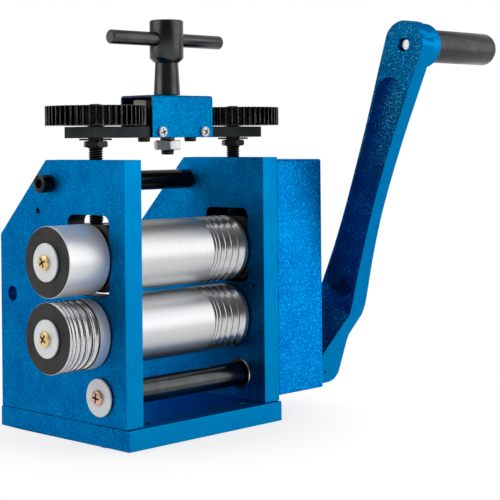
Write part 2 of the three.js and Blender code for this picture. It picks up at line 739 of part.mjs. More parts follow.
function buildBracket(group) {
  const inner = barWidth / 2 + seat;
  const outer = inner + bracketSheet;
  const top = bracketTop - barBottom;
  const bend = bracketBend;
  const inside = bend - bracketSheet;
  const section = [
    new THREE.Vector2(outer, 0),
    ...arc(outer - bend, top - bend, bend, 0, Math.PI / 2, 2),
    ...arc(bend - outer, top - bend, bend, Math.PI / 2, Math.PI, 2),
    new THREE.Vector2(-outer, 0),
    new THREE.Vector2(-inner, 0),
    ...arc(inside - inner, top - bracketSheet - inside, inside, Math.PI, Math.PI / 2, 1),
    ...arc(inner - inside, top - bracketSheet - inside, inside, Math.PI / 2, 0, 1),
    new THREE.Vector2(inner, 0),
  ];
  const sheet = alongX(prism(section, bracketLength)).translate(-bracketLength / 2, 0, 0);
  const neck = prism(hole(0, 0, handleNeck, 2 * running), 2 * bracketBend);
  neck.translate(0, 0, top - bracketBend);
  const sideHoles = bracketScrewPlaces().map(([, x, side]) => {
    const bore = prism(hole(0, 0, bracketScrew.shank, seat, 8), 2 * bracketSheet);
    bore.rotateX((side * Math.PI) / 2);
    return bore.translate(x, side * (outer + bracketSheet / 2), barThickness / 2);
  });
  add(group, 'gear_bracket', cut(sheet, neck, ...sideHoles), paint);
  for (const [place, x, side] of bracketScrewPlaces()) {
    const screw = headedScrew(bracketScrew).rotateX((-side * Math.PI) / 2);
    screw.translate(x, side * (outer + seat), barThickness / 2);
    add(group, `${place}_bracket_screw`, screw, zinc);
  }
}

function idlerBoltSolid() {
  const headBottom = screwGearTop - barBottom + seat;
  const shank = shaft(idlerBolt.shank, -idlerBolt.below, headBottom + 1, 0, 12);
  const head = prism(hexagon(idlerBolt.headFlats), idlerBolt.headHeight, [], 0.4);
  return join(shank, head.translate(0, 0, headBottom));
}

// Gears on the crosshead. The pinion's first tooth points right, and the others follow it.
function buildScrewGears() {
  for (const [side, direction] of [['left', Math.PI], ['right', 0]]) {
    const sign = Math.cos(direction);
    const idlerPhase = meshedPhase(0, handlePinionTeeth, idlerTeeth, direction);
    const gearPhase = meshedPhase(idlerPhase, idlerTeeth, sideGearTeeth, direction);
    const idler = standardGear(idlerTeeth, screwModule, screwGearThinning, idlerPhase);
    const idlerBore = hole(0, 0, idlerBolt.shank, running);
    const idlerGroup = groupAt(sign * idlerX, rollerY, screwGearBottom);
    add(idlerGroup, `${side}_idler_gear`, prism(idler, screwGearFace, idlerBore), blackSteel);
    const wheel = standardGear(sideGearTeeth, screwModule, screwGearThinning, gearPhase);
    const bore = flattedBore(screwTopDiameter, screwTopFlat);
    const screwGroup = groupAt(sign * plateMiddle, rollerY, 0);
    const gear = prism(wheel, screwGearFace, bore).translate(0, 0, screwGearBottom);
    add(screwGroup, `${side}_side_gear`, gear, blackSteel);
    buildPressureScrew(screwGroup, side);
  }
}

// A pressure screw: button in the block, thread through the plate, gear on its upper end
function buildPressureScrew(group, side) {
  const { lip } = bearingBlock();
  const blockTop = upperAxis + blockAbove;
  const buttonTop = blockTop - lip;
  const neckTop = blockTop + thrust;
  const collarBottom = barTop + seat;
  const gearSeat = screwGearBottom - seat;
  const top = screwGearTop + 1.2;
  const [button, neck, thread] = [screwButton.diameter / 2, screwNeck / 2, screwDiameter / 2];
  const [collar, upper] = [gearCollarDiameter / 2, screwTopDiameter / 2];
  const body = turned([
    [0, buttonTop - screwButton.height], [button, buttonTop - screwButton.height],
    [button, buttonTop], [neck, buttonTop], [neck, neckTop], [thread, neckTop],
    [thread, collarBottom], [collar, collarBottom], [collar, gearSeat],
    [upper, gearSeat], [upper, top - 0.8], [upper - 0.8, top], [0, top],
  ]);
  const flatTool = new THREE.BoxGeometry(screwTopDiameter, screwTopDiameter, top - gearSeat + 1);
  flatTool.translate(upper - 0.9 + screwTopDiameter / 2, 0, (top + 1 + gearSeat) / 2);
  add(group, `${side}_pressure_screw`, cut(body, flatTool), blackSteel);
  const washerTop = barBottom - thrust;
  const washerBottom = washerTop - lockWasher.thickness;
  const washer = ring(lockWasher.diameter, screwDiameter, washerBottom, washerTop);
  add(group, `${side}_lock_washer`, washer, blackSteel);
  const nutTop = washerBottom - seat;
  const nut = prism(hexagon(lockNut.flats), lockNut.height, hole(0, 0, screwDiameter));
  add(group, `${side}_lock_nut`, nut.translate(0, 0, nutTop - lockNut.height), blackSteel);
}

// T handle: a turned spindle with a cross bar, on the axis of the pinion
function buildHandle() {
  const hubTop = hubBottom + handleHub.height;
  const nutTop = barBottom - handleNut.below;
  const threadEnd = nutTop - handleNut.height - handleNut.thread;
  const [hub, spindle, neck] = [handleHub.diameter / 2, handleSpindle / 2, handleNeck / 2];
  const neckBottom = screwGearTop + seat;
  const body = turned([
    [0, threadEnd], [spindle - 0.8, threadEnd], [spindle, threadEnd + 0.8],
    [spindle, neckBottom], [neck, neckBottom], [neck, stemBottom],
    [handleStem.bottom / 2, stemBottom], [handleStem.top / 2, hubBottom],
    [handleStem.top / 2 + 0.5, hubBottom], [hub, hubBottom + handleHub.chamfer],
    [hub, hubTop - 1], [hub - 1, hubTop], [0, hubTop],
  ], 20);
  const barHeight = hubTop - handleBar.drop;
  const bore = alongX(prism(hole(0, 0, handleBar.diameter), 2 * handleHub.diameter));
  bore.translate(-handleHub.diameter, 0, barHeight);
  const flatTool = new THREE.BoxGeometry(handleSpindle, handleSpindle, screwGearFace + seat);
  flatTool.translate(spindle - 1 + handleSpindle / 2, 0, screwGearBottom + screwGearFace / 2);
  const group = groupAt(0, rollerY, 0);
  add(group, 'handle_spindle', cut(body, bore, flatTool), gunmetal);
  const rod = alongX(shaft(handleBar.diameter, -handleBar.length / 2, handleBar.length / 2, 0.8));
  add(group, 'handle_cross_bar', rod.translate(0, 0, barHeight), gunmetal);
  const pinion = standardGear(handlePinionTeeth, screwModule, screwGearThinning, 0);
  const pinionBore = flattedBore(handleSpindle, handleFlat);
  const pinionSolid = prism(pinion, screwGearFace, pinionBore).translate(0, 0, screwGearBottom);
  add(group, 'handle_pinion', pinionSolid, blackSteel);
  const nut = prism(hexagon(handleNut.flats), handleNut.height, hole(0, 0, handleSpindle));
  add(group, 'spindle_nut', nut.translate(0, 0, nutTop - handleNut.height), steel);
}

// Crank arm, drawn upright with y across and z along the arm from the drive shaft
function crankOutline(inset = 0) {
  const low = crankHub.radius - inset;
  const high = crankArm.topRadius - inset;
  const waist = crankArm.waist - inset;
  const bend = crankHub.radius - 1.5 - inset;
  const right = [
    new THREE.Vector2(bend, crankBend.outerEnd),
    new THREE.Vector2(waist + 1.3, crankLength * 0.36),
    new THREE.Vector2(waist, crankLength * 0.52),
    new THREE.Vector2(waist + 0.7, crankLength * 0.72),
    new THREE.Vector2(waist + 2.4, crankLength * 0.88),
  ];
  const left = [...right].reverse().map((point) => new THREE.Vector2(-point.x, point.y));
  return [
    ...arc(0, 0, low, -Math.PI, 0, 10),
    ...right,
    ...arc(0, crankLength, high, 0.12, Math.PI - 0.12, 9),
    ...left,
  ];
}

function crankSideProfile() {
  const reach = crankLength + crankArm.topRadius + 1;
  const low = -crankHub.radius - 1;
  const hubOuter = hubInner + crankHub.thickness;
  const corners = [
    [hubInner, low], [hubOuter, low], [hubOuter, crankBend.outerStart],
    [armOuter, crankBend.outerEnd], [armOuter, reach], [armInner, reach],
    [armInner, crankBend.innerEnd], [hubInner, crankBend.innerStart],
  ];
  return corners.map(([x, z]) => new THREE.Vector2(x, z));
}

function crankPocketSolid() {
  const half = crankArm.waist - crankPocket.rim;
  const topHalf = half + 2;
  const lowHalf = half + 1.2;
  const outline = [
    ...arc(0, crankPocket.low + lowHalf, lowHalf, -Math.PI, 0, 6),
    new THREE.Vector2(half, crankLength * 0.52),
    ...arc(0, crankPocket.high - topHalf, topHalf, 0, Math.PI, 6),
    new THREE.Vector2(-half, crankLength * 0.52),
  ];
  return alongX(prism(outline, crankPocket.depth + 1)).translate(armInner - 1, 0, 0);
}

function buildCrank() {
  const reach = armOuter - hubInner;
  const front = alongX(prism(crankOutline(), reach + 2)).translate(hubInner - 1, 0, 0);
  const width = 2 * crankHub.radius + 2;
  const side = prism(crankSideProfile(), width).rotateX(Math.PI / 2).translate(0, width / 2, 0);
  const boss = alongX(shaft(2 * crankBoss.radius, armOuter - 1, armOuter + crankBoss.height, 0.8, 20));
  const hubBore = through(flattedBore(driveShaftDiameter, stubFlat));
  hubBore.rotateZ(((90 - crankLean) * Math.PI) / 180 - Math.PI / 2);
  const studBore = alongX(prism(hole(0, 0, gripStud.diameter), crankArm.thickness + crankBoss.height + 2));
  const screwBore = prism(hole(0, 0, crankScrew.diameter, seat, 10), crankHub.radius + 2);
  const arm = cut(
    join(common(front, side), boss.translate(0, 0, crankLength)),
    crankPocketSolid(),
    alongX(hubBore).translate(hubInner, 0, 0),
    studBore.translate(armInner - 1, 0, crankLength),
    screwBore.rotateX(Math.PI / 2).translate(hubInner + crankHub.thickness / 2, 0, 0),
  );
  const group = groupAt(0, driveY, driveAxis);
  group.rotation.x = (crankLean * Math.PI) / 180;
  add(group, 'crank_arm', arm, paint);
  const screwStart = driveShaftDiameter / 2 + seat;
  const screw = shaft(crankScrew.diameter, screwStart, screwStart + crankScrew.length, 0.5, 10);
  screw.rotateX(Math.PI / 2).translate(hubInner + crankHub.thickness / 2, 0, 0);
  add(group, 'crank_set_screw', screw, blackSteel);
  buildGrip(group);
}

// The grip turns on a stud that is screwed through the boss.
function buildGrip(group) {
  const start = armOuter + crankBoss.height + thrust;
  const end = start + grip.length;
  const sides = 20;
  const bore = (gripStud.diameter / 2 + running) / Math.cos(Math.PI / sides);
  const counterbore = gripStud.head / 2 + 2 * running;
  const recessFace = end - gripStud.recess;
  const [radius, edge] = [grip.diameter / 2, grip.edge];
  const profile = [[bore, start], [radius - 0.8, start], [radius, start + 0.8]];
  profile.push([radius, end - edge], [radius - edge * 0.3, end - edge * 0.3], [radius - edge, end]);
  profile.push([counterbore, end], [counterbore, recessFace], [bore, recessFace], [bore, start]);
  add(group, 'crank_grip', alongX(turned(profile, sides)).translate(0, 0, crankLength), plastic);
  const studStart = armInner + 3;
  const headBottom = recessFace + seat;
  const headTop = headBottom + gripStud.headHeight;
  const [shank, head] = [gripStud.diameter / 2, gripStud.head / 2];
  const stud = turned([
    [0, studStart], [shank, studStart], [shank, headBottom], [head, headBottom],
    [head, headTop - 0.8], [head - 0.8, headTop], [0, headTop],
  ]);
  add(group, 'grip_stud', alongX(stud).translate(0, 0, crankLength), zinc);
}

buildBase();
buildSidePlate('left_side_plate', -plateOuter);
buildSidePlate('right_side_plate', plateInner);
buildTieRod();
buildFixedBushes();
buildGearCover();
buildUpperBlocks();
buildUpperRoller();
buildLowerRoller();
buildDriveShaft();
buildCrosshead();
buildScrewGears();
buildHandle();
buildCrank();

export default mill;
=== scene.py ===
# %% [markdown]
# A jeweller's rolling mill, dressed for the photograph
#
# The rigid solids of the mill come in as a fixed frame. Most of them have few facets, so this
# lesson models a finer piece over each one that shows, from the same sizes, and gives it the
# finish of the real part: hammered blue paint, ground steel, black oxide, zinc and brass.

# %% Load the frame
import math

import bmesh
import bpy
from mathutils import Matrix, Vector


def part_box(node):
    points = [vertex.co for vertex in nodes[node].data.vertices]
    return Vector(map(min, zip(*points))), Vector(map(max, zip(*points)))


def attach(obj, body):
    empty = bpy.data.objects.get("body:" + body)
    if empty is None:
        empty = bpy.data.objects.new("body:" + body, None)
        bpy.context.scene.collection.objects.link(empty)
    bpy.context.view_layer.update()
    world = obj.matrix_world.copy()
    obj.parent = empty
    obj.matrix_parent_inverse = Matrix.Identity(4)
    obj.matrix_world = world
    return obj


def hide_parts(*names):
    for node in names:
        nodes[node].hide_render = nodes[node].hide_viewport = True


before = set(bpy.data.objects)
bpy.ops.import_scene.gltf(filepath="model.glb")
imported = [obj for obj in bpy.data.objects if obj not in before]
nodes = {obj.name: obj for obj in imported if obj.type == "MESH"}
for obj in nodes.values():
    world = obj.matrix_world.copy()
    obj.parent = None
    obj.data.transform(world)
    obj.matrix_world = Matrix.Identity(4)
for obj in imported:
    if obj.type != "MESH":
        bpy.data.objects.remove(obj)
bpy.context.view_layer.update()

MM = 0.001

# %% [markdown]
# The camera stands where the photographer's stood: low in front of the mill's left corner, level
# with the top of the plates, with a long lens. The picture was cropped above the middle of the
# lens, so the camera looks level and the frame is shifted down. The horizon then stays straight
# and upright edges stay nearly parallel, which a tilted camera would not give.

# %% Camera
PICTURE = 500  # pixels along a side, the unit of the next two
FOCAL_LENGTH = 1423.3
HORIZON = 139.85
CAMERA_PLACE = (-0.63867, -0.72981, 0.1913)
HEADING = math.radians(44.37)
ROLL = math.radians(0.56)
camera_data = bpy.data.cameras.new("camera")
camera_data.sensor_width = 36
camera_data.lens = FOCAL_LENGTH / PICTURE * 36
camera_data.shift_y = (HORIZON - PICTURE / 2) / PICTURE
camera_data.clip_start = 0.05
camera_data.clip_end = 50
camera = bpy.data.objects.new("camera", camera_data)
bpy.context.scene.collection.objects.link(camera)
forward = Vector((math.cos(HEADING), math.sin(HEADING), 0))
level_right = Vector((math.sin(HEADING), -math.cos(HEADING), 0))
right = level_right * math.cos(ROLL) - Vector((0, 0, 1)) * math.sin(ROLL)
turn = Matrix((right, right.cross(forward), -forward)).transposed()
camera.matrix_world = Matrix.Translation(CAMERA_PLACE) @ turn.to_4x4()
bpy.context.scene.camera = camera
print("lens", round(camera_data.lens, 1), "mm, shift", round(camera_data.shift_y, 3))

# %% [markdown]
# Every finish is a tree of shader nodes, and most of the work in a tree is joining one node to the
# next. These helpers make a node with all that it needs in one line. An input takes a constant, or
# another node together with the name of the output that feeds it.

# %% Node helpers
def feed(tree, target, socket, value):
    """Sets an input to a constant, or joins it to a node's output."""
    if isinstance(value, tuple) and isinstance(value[0], bpy.types.Node):
        source, output = value
        tree.links.new(source.outputs[output], target.inputs[socket])
    else:
        target.inputs[socket].default_value = value


def settle(tree, made, **settings):
    """Gives a node its settings. A name that is no setting of the node is one of its inputs."""
    for label, value in settings.items():
        if hasattr(made, label):
            setattr(made, label, value)
        else:
            feed(tree, made, label.replace("_", " "), value)
    return made


def node(tree, kind, *values, **settings):
    """A new node. Plain values go to its inputs, from the first one on."""
    made = settle(tree, tree.nodes.new(kind), **settings)
    for socket, value in enumerate(values):
        feed(tree, made, socket, value)
    return made


def spread(tree, value, low, high, to_low=0, to_high=1):
    """Maps a value's range, from low to high, to another range."""
    return node(tree, "ShaderNodeMapRange", value, low, high, to_low, to_high)


def maths(tree, operation, *values):
    return node(tree, "ShaderNodeMath", *values, operation=operation)


def vectors(tree, operation, *values):
    return node(tree, "ShaderNodeVectorMath", *values, operation=operation)


def new_material(name):
    """A material, its node tree and the Principled shader in it."""
    material = bpy.data.materials.new(name)
    material.use_nodes = True
    return material, material.node_tree, material.node_tree.nodes["Principled BSDF"]


print("node helpers are ready")

# %% [markdown]
# The mill stands on a plain white floor. It stays white in the picture but keeps a soft shadow
# close to the mill: there the paint's own light counts, and further out, and in what the metal
# reflects, plain white takes over. A floor of paint alone would turn grey towards its edges.

# %% Floor
FLOOR_SIZE = 12
SHADOW_NEAR, SHADOW_FAR = 0.09, 0.16  # from the middle of the mill
bpy.ops.object.select_all(action="DESELECT")
bpy.ops.mesh.primitive_plane_add(size=FLOOR_SIZE, location=(0, 0, -0.0002))
floor = bpy.context.object
floor.name = "floor"
floor_paint, tree, shader = new_material("white_floor")
settle(tree, shader, Base_Color=(0.9, 0.9, 0.9, 1), Roughness=0.9, Specular_IOR_Level=0)
rays = node(tree, "ShaderNodeLightPath")
place = node(tree, "ShaderNodeTexCoord")
reach = vectors(tree, "LENGTH", (place, "Object"))
fade = spread(tree, (reach, "Value"), SHADOW_NEAR, SHADOW_FAR, 0.75, 1)
clear = maths(tree, "MAXIMUM", (rays, "Is Camera Ray"), (rays, "Is Transmission Ray"))
seen = maths(tree, "MAXIMUM", (clear, "Value"), (rays, "Is Glossy Ray"))
share = maths(tree, "MULTIPLY", (seen, "Value"), (fade, "Result"))
white = node(tree, "ShaderNodeEmission", Strength=1)
both = node(tree, "ShaderNodeMixShader", (share, "Value"), (shader, "BSDF"), (white, "Emission"))
feed(tree, tree.nodes["Material Output"], "Surface", (both, "Shader"))
floor.data.materials.append(floor_paint)
print("floor of", FLOOR_SIZE, "m")

# %% [markdown]
# The room is white for the camera, and a soft light comes from all of it. For what metal reflects,
# it is brightest at eye level to the right and ahead, and darker overhead, on the left and behind
# the camera. Polished steel without anything dark around it would look like plaster.

# %% Room
WALL_LIGHT = 0.35
GREYS = ((0.4, 0.7), (0.5, 0.95), (0.6, 0.9), (0.75, 0.6))  # height from 0 to 1, and how bright
world = bpy.data.worlds.new("white_room")
bpy.context.scene.world = world
world.use_nodes = True
tree = world.node_tree
tree.nodes.clear()
rays = node(tree, "ShaderNodeLightPath")
direction = node(tree, "ShaderNodeTexCoord")
split = node(tree, "ShaderNodeSeparateXYZ", (direction, "Generated"))
height = spread(tree, (split, "Z"), -1, 1)
bands = node(tree, "ShaderNodeValToRGB", (height, "Result"))
ramp = bands.color_ramp
ramp.elements[0].color = (0.5, 0.5, 0.5, 1)
ramp.elements[1].color = (0.36, 0.36, 0.37, 1)
for level, grey in GREYS:
    ramp.elements.new(level).color = (grey, grey, grey, 1)
ahead = vectors(tree, "DOT_PRODUCT", (direction, "Generated"), forward)
behind = spread(tree, (ahead, "Value"), -0.9, -0.1, 0.12, 1)
across = vectors(tree, "DOT_PRODUCT", (direction, "Generated"), level_right)
left = spread(tree, (across, "Value"), -0.95, 0.1, 0.3, 1)
side = maths(tree, "MULTIPLY", (behind, "Result"), (left, "Result"))
level = maths(tree, "MULTIPLY", (bands, "Color"), (side, "Value"))
mirror = node(tree, "ShaderNodeBackground", (1, 1, 1, 1), (level, "Value"))
room = node(tree, "ShaderNodeBackground", (0.97, 0.98, 1, 1), WALL_LIGHT)
white = node(tree, "ShaderNodeBackground", (1, 1, 1, 1), 1)
lit = (room, "Background"), (mirror, "Background")
soft = node(tree, "ShaderNodeMixShader", (rays, "Is Glossy Ray"), *lit)
seen = maths(tree, "MAXIMUM", (rays, "Is Camera Ray"), (rays, "Is Transmission Ray"))
final = node(tree, "ShaderNodeMixShader", (seen, "Value"), (soft, "Shader"), (white, "Background"))
node(tree, "ShaderNodeOutputWorld", (final, "Shader"))
print("room light", WALL_LIGHT)

# %% [markdown]
# A wide softbox stands to the right of the camera, a small and brighter one close to the left
# plate, and a third hangs overhead. The wide one is near for its size, so that its shadows and its
# glints on the rollers are soft. Together with the room they light a white card to just below
# white.

# %% Softboxes
MILL_MIDDLE = Vector((0, 0, 0.13))


def softbox(name, place, size, strength):
    """A soft lamp at a place, turned to the mill. Its strength is how bright it looks."""
    lamp = bpy.data.lights.new(name, "AREA")
    lamp.shape = "RECTANGLE"
    lamp.size, lamp.size_y = size
    lamp.energy = strength * math.pi * size[0] * size[1]
    box = bpy.data.objects.new(name, lamp)
    bpy.context.scene.collection.objects.link(box)
    box.location = place
    box.rotation_mode = "QUATERNION"
    box.rotation_quaternion = (MILL_MIDDLE - Vector(place)).to_track_quat("-Z", "Y")
    print(name, round(lamp.energy, 1), "watts")


softbox("right_light", (0.75, -1.12, 0.55), (1.4, 1.9), 1.1)
softbox("left_light", (-0.62, 0.3, 0.5), (0.7, 0.7), 1.7)
softbox("top_light", (-0.1, -0.1, 1.3), (0.9, 0.9), 1.4)
bpy.context.scene.view_settings.view_transform = "Standard"

# %% [markdown]
# Three effects come back in several finishes, so each is a shader node group that puts out only
# masks and normals. Flakes are the bright specks and dimples of hammered paint. Turned lines are
# the fine rings that a grinder leaves round a roller. Handling is the uneven gloss of metal and
# plastic that hands and oil have touched.

# %% Shader groups
def shader_group(name, inputs, outputs):
    """A group and its entry. It takes numbers, and puts out numbers and a normal."""
    group = bpy.data.node_groups.new(name, "ShaderNodeTree")
    for label, value in inputs.items():
        socket = group.interface.new_socket(name=label, in_out="INPUT", socket_type="NodeSocketFloat")
        socket.default_value = value
    for label in outputs:
        group.interface.new_socket(name=label, in_out="OUTPUT", socket_type="NodeSocketFloat")
    group.interface.new_socket(name="Normal", in_out="OUTPUT", socket_type="NodeSocketVector")
    return group, group.nodes.new("NodeGroupInput")


flakes, entry = shader_group(
    "hammered_flakes", {"Cells": 900, "Share": 0.45, "Depth": 0.25}, ("Flake", "Cloud")
)
place = node(flakes, "ShaderNodeTexCoord")
cells = node(flakes, "ShaderNodeTexVoronoi", Vector=(place, "Object"), Scale=(entry, "Cells"))
dots = spread(flakes, (cells, "Distance"), 0.5, 0.12)
pick = node(flakes, "ShaderNodeSeparateColor", (cells, "Color"))
chance = maths(flakes, "LESS_THAN", (pick, "Red"), (entry, "Share"))
bright = maths(flakes, "MULTIPLY", (dots, "Result"), (chance, "Value"))
level = spread(flakes, (pick, "Green"), 0, 1, 0.35, 1)
flake = maths(flakes, "MULTIPLY", (bright, "Value"), (level, "Result"))
mist = node(flakes, "ShaderNodeTexNoise", Vector=(place, "Object"), Scale=55, Detail=3, Roughness=0.6)
cloud = spread(flakes, (mist, "Fac"), 0.3, 0.7)
dimple = node(
    flakes, "ShaderNodeBump", Strength=(entry, "Depth"), Distance=0.0004, Height=(cells, "Distance")
)
masks = {"Flake": (flake, "Value"), "Cloud": (cloud, "Result")}
node(flakes, "NodeGroupOutput", Normal=(dimple, "Normal"), **masks)

turned_lines, entry = shader_group(
    "turned_lines", {"Along": 1, "Around": 0.02, "Depth": 0.1}, ("Line",)
)
place = node(turned_lines, "ShaderNodeTexCoord")
around = (entry, "Around")
stretch = node(turned_lines, "ShaderNodeCombineXYZ", (entry, "Along"), around, around)
scaled = vectors(turned_lines, "MULTIPLY", (place, "Object"), (stretch, "Vector"))
rings = node(
    turned_lines, "ShaderNodeTexNoise", Vector=(scaled, "Vector"), Scale=2600, Detail=4, Roughness=0.7
)
line = spread(turned_lines, (rings, "Fac"), 0.3, 0.7)
groove = node(
    turned_lines, "ShaderNodeBump", Strength=(entry, "Depth"), Distance=0.00005,
    Height=(line, "Result"),
)
node(turned_lines, "NodeGroupOutput", Line=(line, "Result"), Normal=(groove, "Normal"))

handling, entry = shader_group("handling", {"Size": 60, "Grain": 1500, "Depth": 0.1}, ("Smudge",))
place = node(handling, "ShaderNodeTexCoord")
smudges = node(
    handling, "ShaderNodeTexNoise", Vector=(place, "Object"), Scale=(entry, "Size"),
    Detail=5, Roughness=0.65, Distortion=0.4,
)
smudge = spread(handling, (smudges, "Fac"), 0.3, 0.7)
grains = node(
    handling, "ShaderNodeTexNoise", Vector=(place, "Object"), Scale=(entry, "Grain"), Detail=2
)
pits = node(
    handling, "ShaderNodeBump", Strength=(entry, "Depth"), Distance=0.00008, Height=(grains, "Fac")
)
node(handling, "NodeGroupOutput", Smudge=(smudge, "Result"), Normal=(pits, "Normal"))
print("groups:", ", ".join(group.name for group in bpy.data.node_groups))

# %% [markdown]
# The plates and castings are sprayed with hammered enamel: a deep blue with lighter clouds and
# small bright flakes, thrown up as the paint draws together. The cover has larger flakes than the
# plates, and the crank is darker. The shine of such enamel is blue as well, so the shader counts it
# as metal, where a plain paint would shine white. The narrow edges of the plates look plain, so
# they get a smooth blue. Round the rollers, the plates' inner faces get painted shade: their blue
# is made darker there, for the shade that falls between the parts.

# %% Blue paint
SHADE_DEEPEST, SHADE_GONE = 0.022, 0.052  # how far from the rollers the painted shade is deepest, and where it ends
roller_corners = [
    Vector(corner) for row in ("upper", "lower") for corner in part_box(f"{row}_main_roller")
]
between_rollers = sum(roller_corners, Vector()) / len(roller_corners)


def blend_colours(tree, mask, low, high):
    """A colour between two, by a mask. The low one may come from a node."""
    low = low if isinstance(low[0], bpy.types.Node) else (*low, 1)
    return node(tree, "ShaderNodeMix", data_type="RGBA", Factor=mask, A=low, B=(*high, 1))


def painted_shade_round_rollers(tree, colour):
    """A colour made darker round the rollers: painted shade between the parts."""
    place = node(tree, "ShaderNodeTexCoord")
    away = vectors(tree, "SUBTRACT", (place, "Object"), between_rollers)
    in_plate = vectors(tree, "MULTIPLY", (away, "Vector"), (0, 1, 0.6))
    reach = vectors(tree, "LENGTH", (in_plate, "Vector"))
    fade = spread(tree, (reach, "Value"), SHADE_DEEPEST, SHADE_GONE, 0.45, 1)
    return node(tree, "ShaderNodeVectorMath", colour, operation="SCALE", Scale=(fade, "Result"))


def hammered_paint(name, deep, light, flake, cells, share, depth, roughness=0.42, with_shade=False):
    """Blue enamel. cells is how fine the flakes are, share is how many there are."""
    material, tree, shader = new_material(name)
    effect = node(tree, "ShaderNodeGroup", node_tree=flakes, Cells=cells, Share=share, Depth=depth)
    clouded = blend_colours(tree, (effect, "Cloud"), deep, light)
    specked = blend_colours(tree, (effect, "Flake"), (clouded, "Result"), flake)
    colour = (painted_shade_round_rollers(tree, (specked, "Result")), "Vector") if with_shade else (specked, "Result")
    gloss = spread(tree, (effect, "Cloud"), 0, 1, roughness + 0.04, roughness - 0.04)
    settle(
        tree, shader, Base_Color=colour, Normal=(effect, "Normal"), Roughness=(gloss, "Result"),
        Metallic=1, Specular_Tint=(0, 0.6, 1, 1),
    )
    return material


PLATE_PAINT = ((0, 0.12, 0.36), (0, 0.165, 0.44), (0, 0.45, 0.8), 1050, 0.5, 0.6)
plate_blue = hammered_paint("plate_blue", *PLATE_PAINT)
shaded_blue = hammered_paint("shaded_blue", *PLATE_PAINT, with_shade=True)
cover_blue = hammered_paint(
    "cover_blue", (0, 0.15, 0.49), (0, 0.2, 0.57), (0, 0.55, 0.95), 650, 0.6, 0.55, 0.36
)
bracket_blue = hammered_paint(
    "bracket_blue", (0, 0.115, 0.34), (0, 0.185, 0.45), (0, 0.45, 0.77), 850, 0.6, 0.75, 0.4
)
crank_blue = hammered_paint(
    "crank_blue", (0, 0.085, 0.235), (0, 0.125, 0.3), (0.14, 0.6, 0.86), 800, 0.5, 0.85, 0.36
)
edge_blue = hammered_paint(
    "edge_blue", (0, 0.185, 0.44), (0, 0.2, 0.47), (0, 0.22, 0.5), 1500, 0.3, 0.05
)
print("blue paint between the rollers is dulled round", [round(part, 3) for part in between_rollers])

# %% [markdown]
# The rollers are ground and then polished, so their shine is broken only by faint rings. The short
# rollers outside the plate have a softer satin. The screws, washers and gears are plain stock with
# a thin coat: zinc, brass, black oxide. Each has its own colour and gloss over the same handled
# surface.

# %% Metals and plastic
def handled(name, colour, other, metallic, roughness, size=60, grain=1500, depth=0.1, swing=0.08):
    """A finish with smudges in its colour and gloss, and a fine grain."""
    material, tree, shader = new_material(name)
    effect = node(tree, "ShaderNodeGroup", node_tree=handling, Size=size, Grain=grain, Depth=depth)
    tint = blend_colours(tree, (effect, "Smudge"), colour, other)
    gloss = spread(tree, (effect, "Smudge"), 0, 1, roughness + swing, roughness - swing)
    settle(
        tree, shader, Base_Color=(tint, "Result"), Roughness=(gloss, "Result"),
        Normal=(effect, "Normal"), Metallic=metallic,
    )
    return material


def ground(name, colour, other, metallic):
    """Bright steel with the fine rings of the grinding wheel."""
    material, tree, shader = new_material(name)
    effect = node(
        tree, "ShaderNodeGroup", node_tree=turned_lines, Along=1, Around=0.004, Depth=0.03
    )
    tint = blend_colours(tree, (effect, "Line"), colour, other)
    gloss = spread(tree, (effect, "Line"), 0, 1, 0.41, 0.38)
    around = node(tree, "ShaderNodeTangent", direction_type="RADIAL", axis="X")
    settle(
        tree, shader, Base_Color=(tint, "Result"), Roughness=(gloss, "Result"),
        Normal=(effect, "Normal"), Metallic=metallic, Anisotropic=0.12, Anisotropic_Rotation=0.25,
        Tangent=(around, "Tangent"),
    )
    return material


roller_steel = ground("roller_steel", (0.58, 0.585, 0.59), (0.65, 0.655, 0.66), 1)
satin_steel = ground("satin_steel", (0.76, 0.765, 0.77), (0.84, 0.845, 0.85), 0.6)
cut_steel = handled("cut_steel", (0.5, 0.505, 0.51), (0.66, 0.665, 0.67), 1, 0.24, 200, swing=0.04)
roller_end = handled("roller_end", (0.014, 0.013, 0.012), (0.026, 0.024, 0.022), 0.3, 0.6, 40)
washer_white = handled("washer_white", (0.68, 0.71, 0.72), (0.76, 0.79, 0.8), 0.35, 0.45, 90)
zinc = handled("zinc", (0.68, 0.69, 0.7), (0.82, 0.83, 0.84), 1, 0.3, 120)
screw_brass = handled("screw_brass", (0.72, 0.52, 0.2), (0.83, 0.66, 0.36), 1, 0.33, 150)
screw_copper = handled("screw_copper", (0.62, 0.33, 0.22), (0.75, 0.47, 0.36), 1, 0.33, 150)
bronze = handled("bronze", (0.4, 0.27, 0.13), (0.5, 0.35, 0.2), 1, 0.4, 80)
black_oxide_and_shade = handled("black_oxide_and_shade", (0.006, 0.006, 0.007), (0.014, 0.014, 0.015), 0.5, 0.32, 90)
gloss_black = handled("gloss_black", (0.016, 0.016, 0.018), (0.03, 0.03, 0.032), 0.9, 0.22, swing=0.04)
shaft_steel = handled("shaft_steel", (0.05, 0.055, 0.057), (0.08, 0.086, 0.088), 1, 0.2, swing=0.03)
gunmetal = handled(
    "gunmetal", (0.045, 0.047, 0.048), (0.074, 0.077, 0.078), 1, 0.27, 45, 1100, 0.2, 0.04
)
charcoal = handled("charcoal", (0.012, 0.015, 0.0155), (0.02, 0.0225, 0.023), 0.9, 0.42, 50, 900, 0.2)
grip_black = handled("grip_black", (0.045, 0.045, 0.047), (0.065, 0.065, 0.067), 1, 0.28, 70, 700, 0.3)
screw_steel = handled("screw_steel", (0.34, 0.32, 0.3), (0.45, 0.43, 0.41), 0.3, 0.45, 120)
tooth_black = handled("tooth_black", (0.0015, 0.0015, 0.0018), (0.004, 0.004, 0.0045), 1, 0.3, 90)
# The lighter edge finish of the gear teeth is a painted highlight.
highlit_tooth_edge = handled("highlit_tooth_edge", (0.03, 0.03, 0.03), (0.4, 0.4, 0.4), 1, 0.3, 120)
